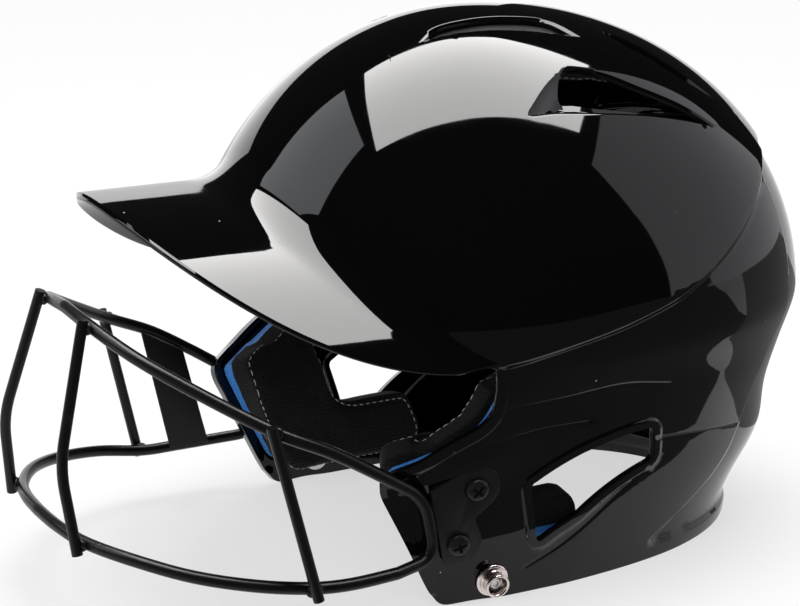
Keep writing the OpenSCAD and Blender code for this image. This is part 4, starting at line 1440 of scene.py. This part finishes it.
def blown_up(piece):
    """Swell a flat pad with cloth under pressure, and keep only the resulting mesh."""
    piece.data.remesh_voxel_size = VOXEL * MM
    only(piece)
    bpy.ops.object.voxel_remesh()
    before = points_of(piece)
    cloth = piece.modifiers.new("cover", "CLOTH")
    cloth.settings.use_pressure = True
    cloth.settings.uniform_pressure_force = PRESSURE
    cloth.settings.effector_weights.gravity = 0
    for step in range(1, CLOTH_STEPS + 1):
        scene.frame_set(step)
    bpy.context.view_layer.update()
    swollen = piece.evaluated_get(bpy.context.evaluated_depsgraph_get())
    move = points_of(swollen) - before
    piece.modifiers.remove(cloth)
    scene.frame_set(1)
    length = np.maximum(np.linalg.norm(move, axis=1, keepdims=True), 1e-9)
    move_points(piece, before + move / length * np.minimum(length, MOST_MOVE * MM))
    smooth = piece.modifiers.new("even cover", "SMOOTH")
    smooth.factor, smooth.iterations = 0.5, 1
    finer = piece.modifiers.new("finer", "SUBSURF")
    finer.levels = finer.render_levels = 1
    apply_all(piece)


# %% Seam and stitches
SEAM_IN, STITCH, STITCH_PITCH = 1.4, 2.2, 3.2


def drawn_in(line, distance):
    """A closed outline moved inwards."""
    along = np.roll(line, -1, 0) - np.roll(line, 1, 0)
    side = np.c_[-along[:, 1], along[:, 0]]
    side = side / np.linalg.norm(side, axis=1, keepdims=True)
    return line + side * distance * (1 if turns_left(line) else -1)


def sewn(piece, seam_line, depth=0.7, width=2.6):
    """Draw the inner face in along the seam."""
    p = points_of(piece) / MM
    middle = (p[:, 2].max() + p[:, 2].min()) / 2
    flat = np.c_[p[:, :2], 0 * p[:, 0]]
    furrow = np.c_[seam_line, 0 * seam_line[:, 0]]
    pull = depth * (1 - ease(from_line(flat, np.vstack([furrow, furrow[:1]])) / width))
    p[:, 2] -= np.where(p[:, 2] > middle + 2, pull, 0)
    move_points(piece, p * MM)


def stitches(name, piece, seam_line):
    """Short round stitches lying on the face, two points of the seam apart."""
    cover = BVHTree.FromObject(piece, bpy.context.evaluated_depsgraph_get())
    points, faces = [], []
    for here, ahead in zip(seam_line, np.roll(seam_line, -1, 0)):
        heading = (ahead - here) / max(np.linalg.norm(ahead - here), 1e-6)
        side = np.array([-heading[1], heading[0]])
        first = len(points)
        for along, radius, lift in ((0, 0.1, -0.1), (0.25, 0.24, 0.1), (0.75, 0.24, 0.1), (1, 0.1, -0.1)):
            spot = here + heading * STITCH * along
            top = cover.ray_cast(Vector((*(spot * MM), 0.1)), Vector((0, 0, -1)))[0]
            height = (top.z / MM if top else 20.0) + lift
            for turn in np.linspace(0, 2 * math.pi, 6, endpoint=False):
                over = spot + side * radius * math.cos(turn)
                points.append((*over, height + radius * 0.8 * math.sin(turn)))
        for ring in range(3):
            for k in range(6):
                a, b = first + ring * 6 + k, first + ring * 6 + (k + 1) % 6
                faces.append((a, b, b + 6, a + 6))
        faces.append(tuple(first + k for k in range(6)))
        faces.append(tuple(first + 18 + k for k in reversed(range(6))))
    thread = new_piece(name, [tuple(v * MM for v in p) for p in points], faces)
    thread.data.shade_smooth()
    return thread


def make_pad(name, corners, radius, depth, thick, wall, nodes):
    """A sewn pad on a wall, with its stitches, on one side or on both."""
    pad = cut_sheet(name, evenly(corners, radius, 2.5), depth, thick)
    blown_up(pad)
    seam_line = evenly(drawn_in(evenly(corners, radius, 1.0), SEAM_IN), 0.5, STITCH_PITCH)
    sewn(pad, seam_line)
    thread = stitches(name + "_stitches", pad, seam_line)
    for piece in (pad, thread):
        bend_onto(piece, wall)
        piece.data.shade_smooth()
    pairs = [(pad, thread, nodes[0])]
    if len(nodes) > 1:
        pairs.append((mirrored_copy(pad, name.replace("left", "right")),
                      mirrored_copy(thread, name.replace("left", "right") + "_stitches"), nodes[1]))
    for cover, sewing, node in pairs:
        dressed(cover, pad_knit, "pad_knit", node)
        dressed(sewing, thread_grey, "pad_knit")
    low, high = pad.bound_box[0], pad.bound_box[6]
    print(name, "box:", [round(v / MM, 1) for v in (*low, *high)], len(pad.data.polygons), "faces")


# %% The ear pads
PAD_UNDER, PAD_THICK, PAD_FILL = 10.2, 10.8, 0.75
pad_cut = [(-11, 85.5), (-16.4, 79), (-21.2, 73.9), (-47, 59.2), (-56.2, 55), (-54.9, 48.5), (-37, 11.6),
           (-30, 6.6), (28.5, 6.6), (34.5, 12), (33.5, 20), (28.5, 30.6), (0.5, 30.6), (-7, 34), (-12, 52),
           (-8.5, 57.6), (0, 61), (38, 66.5), (45.5, 71), (45.5, 80), (40, 85.5)]
make_pad("ear_cushion_left", pad_cut, 4, PAD_UNDER, PAD_THICK, flap_wall,
         ("ear_pad_left", "ear_pad_right"))

# %% [markdown]
# Four more kinds of pad hold the head away from the dome. All are oblongs with round corners.
# Those at the temples and nape lie under the ridge, where the wall is set in, so they start
# deeper below the dome's skin.

# %% The pads inside the dome
CUSHION_UNDER, CUSHION_THICK, CUSHION_FILL = 4.4, 10.6, 0.7
UNDER_RIDGE = CUSHION_UNDER + STEP + 0.4


def oblong(half_run, half_height, middle=0.0):
    low, high = middle - half_height, middle + half_height
    return [(-half_run, low), (half_run, low), (half_run, high), (-half_run, high)]


make_pad("temple_cushion_left", oblong(41, 18.5, 129), 9, UNDER_RIDGE, CUSHION_THICK, dome_wall(90, 97),
         ("side_pad_left", "side_pad_right"))
make_pad("nape_cushion_left", oblong(46, 20.5, 124), 9, UNDER_RIDGE, CUSHION_THICK, dome_wall(32, 118),
         ("rear_pad_left", "rear_pad_right"))
make_pad("brow_cushion", oblong(54, 11, 164.5), 8, CUSHION_UNDER, CUSHION_THICK, dome_wall(180, 85),
         ("brow_pad",))
make_pad("crown_cushion", oblong(45, 57, 30), 34, CUSHION_UNDER, CUSHION_THICK, crown_wall,
         ("crown_pad",))

# %% [markdown]
# The helmet is done, and the stage comes last. The camera stands a step away to the front
# left, a little above the helmet, with a long lens.

# %% Camera
AZIMUTH, ELEVATION = math.radians(62.15), math.radians(15.75)
camera_data = bpy.data.cameras.new("photo_view")
camera_data.lens, camera_data.sensor_width = 99.0, 36.0
camera_data.clip_start = 0.01
camera = bpy.data.objects.new("photo_view", camera_data)
look = Vector((-math.sin(AZIMUTH) * math.cos(ELEVATION), math.cos(AZIMUTH) * math.cos(ELEVATION),
               -math.sin(ELEVATION)))
camera.location = (0.7245, -0.3905, 0.3256)
camera.rotation_euler = look.to_track_quat("-Z", "Y").to_euler()
scene.collection.objects.link(camera)
scene.camera = camera
print("camera looks along", tuple(round(v, 3) for v in look))

# %% [markdown]
# A black gloss shell has almost no colour of its own: what we see is the room in it. So the
# room's shapes are built as cards that only reflections see, each placed by the direction
# in which the shell mirrors it. Bright cards stand for the softbox and the walls. Dark ones,
# which a photographer calls flags, keep the pale floor and the white room out of the gloss.

# %% Cards
CARD_HEIGHT = 2.4
CARD_CENTRE = Vector((0, 0, 0.12))


def glow(name, colour, strength):
    material = bpy.data.materials.new(name)
    material.use_nodes = True
    nodes = material.node_tree.nodes
    nodes.clear()
    emission = nodes.new("ShaderNodeEmission")
    emission.inputs["Color"].default_value = (*colour, 1)
    emission.inputs["Strength"].default_value = strength
    out = nodes.new("ShaderNodeOutputMaterial")
    material.node_tree.links.new(emission.outputs[0], out.inputs["Surface"])
    return material


def card(name, corners, colour, strength):
    """A flat card that only reflections see. Its corners are given in metres."""
    piece = new_piece(name, corners, [tuple(range(len(corners)))])
    piece.data.materials.append(glow(name, colour, strength))
    piece.visible_camera = piece.visible_diffuse = piece.visible_shadow = False
    piece.visible_transmission = piece.visible_volume_scatter = False


def overhead(points):
    """Corners of a card above the helmet, each given as its lean to the left and to the back."""
    return [tuple(CARD_CENTRE + CARD_HEIGHT * Vector((x, y, 1))) for x, y in points]


def lying(height, points):
    """Corners of a card that lies flat at a height."""
    return [(x, y, height) for x, y in points]


def grey(value):
    return (value, value, value)


softbox = [(-0.72, -0.19), (0.09, -0.64), (0.5, 0.71), (-0.25, 0.87), (-0.38, 0.72), (-0.54, 0.5),
           (-0.65, 0.12)]
wall_front = [(-0.74, -0.35), (-0.05, -0.66), (-0.045, -2.05), (-1.02, -2.0), (-1.55, -1.5)]
before_helmet = [(0.105, -1.2), (3, -2.5), (3, 4.5), (0.105, 0.3)]
behind_helmet = [(0.1, 0.2), (1.2, 3), (-0.5, 3), (-0.2, 0.6), (-0.2, 0.2)]
card("softbox_card", overhead(softbox), (1, 0.99, 0.98), 15.5)
card("wall_card", overhead(wall_front), (0.94, 0.97, 1), 3.0)
card("rear_card", [(-0.7, 3, 0), (2.9, 3, 0), (2.9, 3, 3.6), (-0.7, 3, 3.6)], (0.98, 0.95, 1), 1.2)
card("floor_flag", lying(0.002, before_helmet), grey(0.14), 1)
card("neck_flag", lying(0.002, behind_helmet), grey(0.3), 1)
card("ceiling_flag", lying(4, oblong(45, 45)), grey(0.02), 1)
card("camera_flag", [(3, -2.5, 0), (3, 4.5, 0), (3, 4.5, 1.1), (3, -2.5, 1.1)], (0.01, 0.01, 0.012), 1)
card("side_card", [(-2.5, -0.9, 0), (-2.5, 1.6, 0), (-2.5, 1.6, 0.88), (-2.5, -0.9, 0.88)], grey(1), 1.8)

# %% [markdown]
# Plain soft lamps, which reflections don't see, light the dull pieces: a large one overhead
# for the shadow, and two weaker ones from the front and from beside the camera.


# %% Lamps
def lamp(name, place, target, size, power):
    data = bpy.data.lights.new(name, "AREA")
    data.shape, data.size, data.energy = "SQUARE", size, power
    piece = bpy.data.objects.new(name, data)
    piece.location = place
    piece.rotation_euler = (Vector(target) - Vector(place)).to_track_quat("-Z", "Y").to_euler()
    piece.visible_glossy = False
    scene.collection.objects.link(piece)


lamp("overhead_lamp", (-0.3, 0.2, 2.2), (0, 0, 0.1), 1.6, 42)
lamp("front_lamp", (0.6, -2.0, 1.0), (0, 0, 0.1), 1.4, 18)
lamp("camera_lamp", (2.2, -0.6, 1.1), (0, 0, 0.1), 1.4, 16)

# %% [markdown]
# The floor is matt and pale and keeps the helmet's shadow. A photo with a white background
# lifts its floor towards white. So the floor glows a little to the camera and in
# reflections, more so the farther it lies from the helmet, but it lights nothing.


# %% Floor
def background_rays(tree):
    """1 for the rays that show the background: straight, mirrored or seen through glass."""
    rays = tree.nodes.new("ShaderNodeLightPath").outputs
    indirect = math_node(tree, "MAXIMUM", rays["Is Glossy Ray"], rays["Is Transmission Ray"])
    return math_node(tree, "MAXIMUM", rays["Is Camera Ray"], indirect)


NEAR, FAR, NEAR_WHITE = 0.5, 2.2, 0.6
floor = new_piece("floor", lying(0, oblong(6, 6)), [(0, 1, 2, 3)])
floor_paint, tree, sockets, place = finish("floor_paint", grey(0.86), 0.9)
sockets["Specular IOR Level"].default_value = 0.0
away = joined_node(tree, "ShaderNodeVectorMath", {"operation": "LENGTH"}, i0=place).outputs["Value"]
share = spread(tree, away, NEAR, FAR, NEAR_WHITE, 1.0)
white = tree.nodes.new("ShaderNodeEmission")
paler = tree.nodes.new("ShaderNodeMixShader")
surface = next(node for node in tree.nodes if node.type == "OUTPUT_MATERIAL").inputs["Surface"]
tree.links.new(math_node(tree, "MULTIPLY", background_rays(tree), share), paler.inputs["Fac"])
tree.links.new(surface.links[0].from_socket, paler.inputs[1])
tree.links.new(white.outputs[0], paler.inputs[2])
tree.links.new(paler.outputs[0], surface)
floor.data.materials.append(floor_paint)
print("floor:", tuple(round(v, 1) for v in floor.dimensions), "m")

# %% [markdown]
# The world does the same: white where it is seen, and a dimmer fill where it lights.

# %% World
AMBIENT = 0.42
world = bpy.data.worlds.new("studio")
scene.world = world
world.use_nodes = True
tree = world.node_tree
tree.nodes.clear()
sky = tree.nodes.new("ShaderNodeBackground")
sky.inputs["Color"].default_value = (1, 1, 1, 1)
tree.links.new(spread(tree, background_rays(tree), 0.0, 1.0, AMBIENT, 1.0), sky.inputs["Strength"])
world_out = tree.nodes.new("ShaderNodeOutputWorld")
tree.links.new(sky.outputs[0], world_out.inputs["Surface"])
scene.view_settings.view_transform = "Standard"
print("world fill:", AMBIENT)

# %% [markdown]
# Last, the scene is brought up to date.

# %% Finish
bpy.context.view_layer.update()
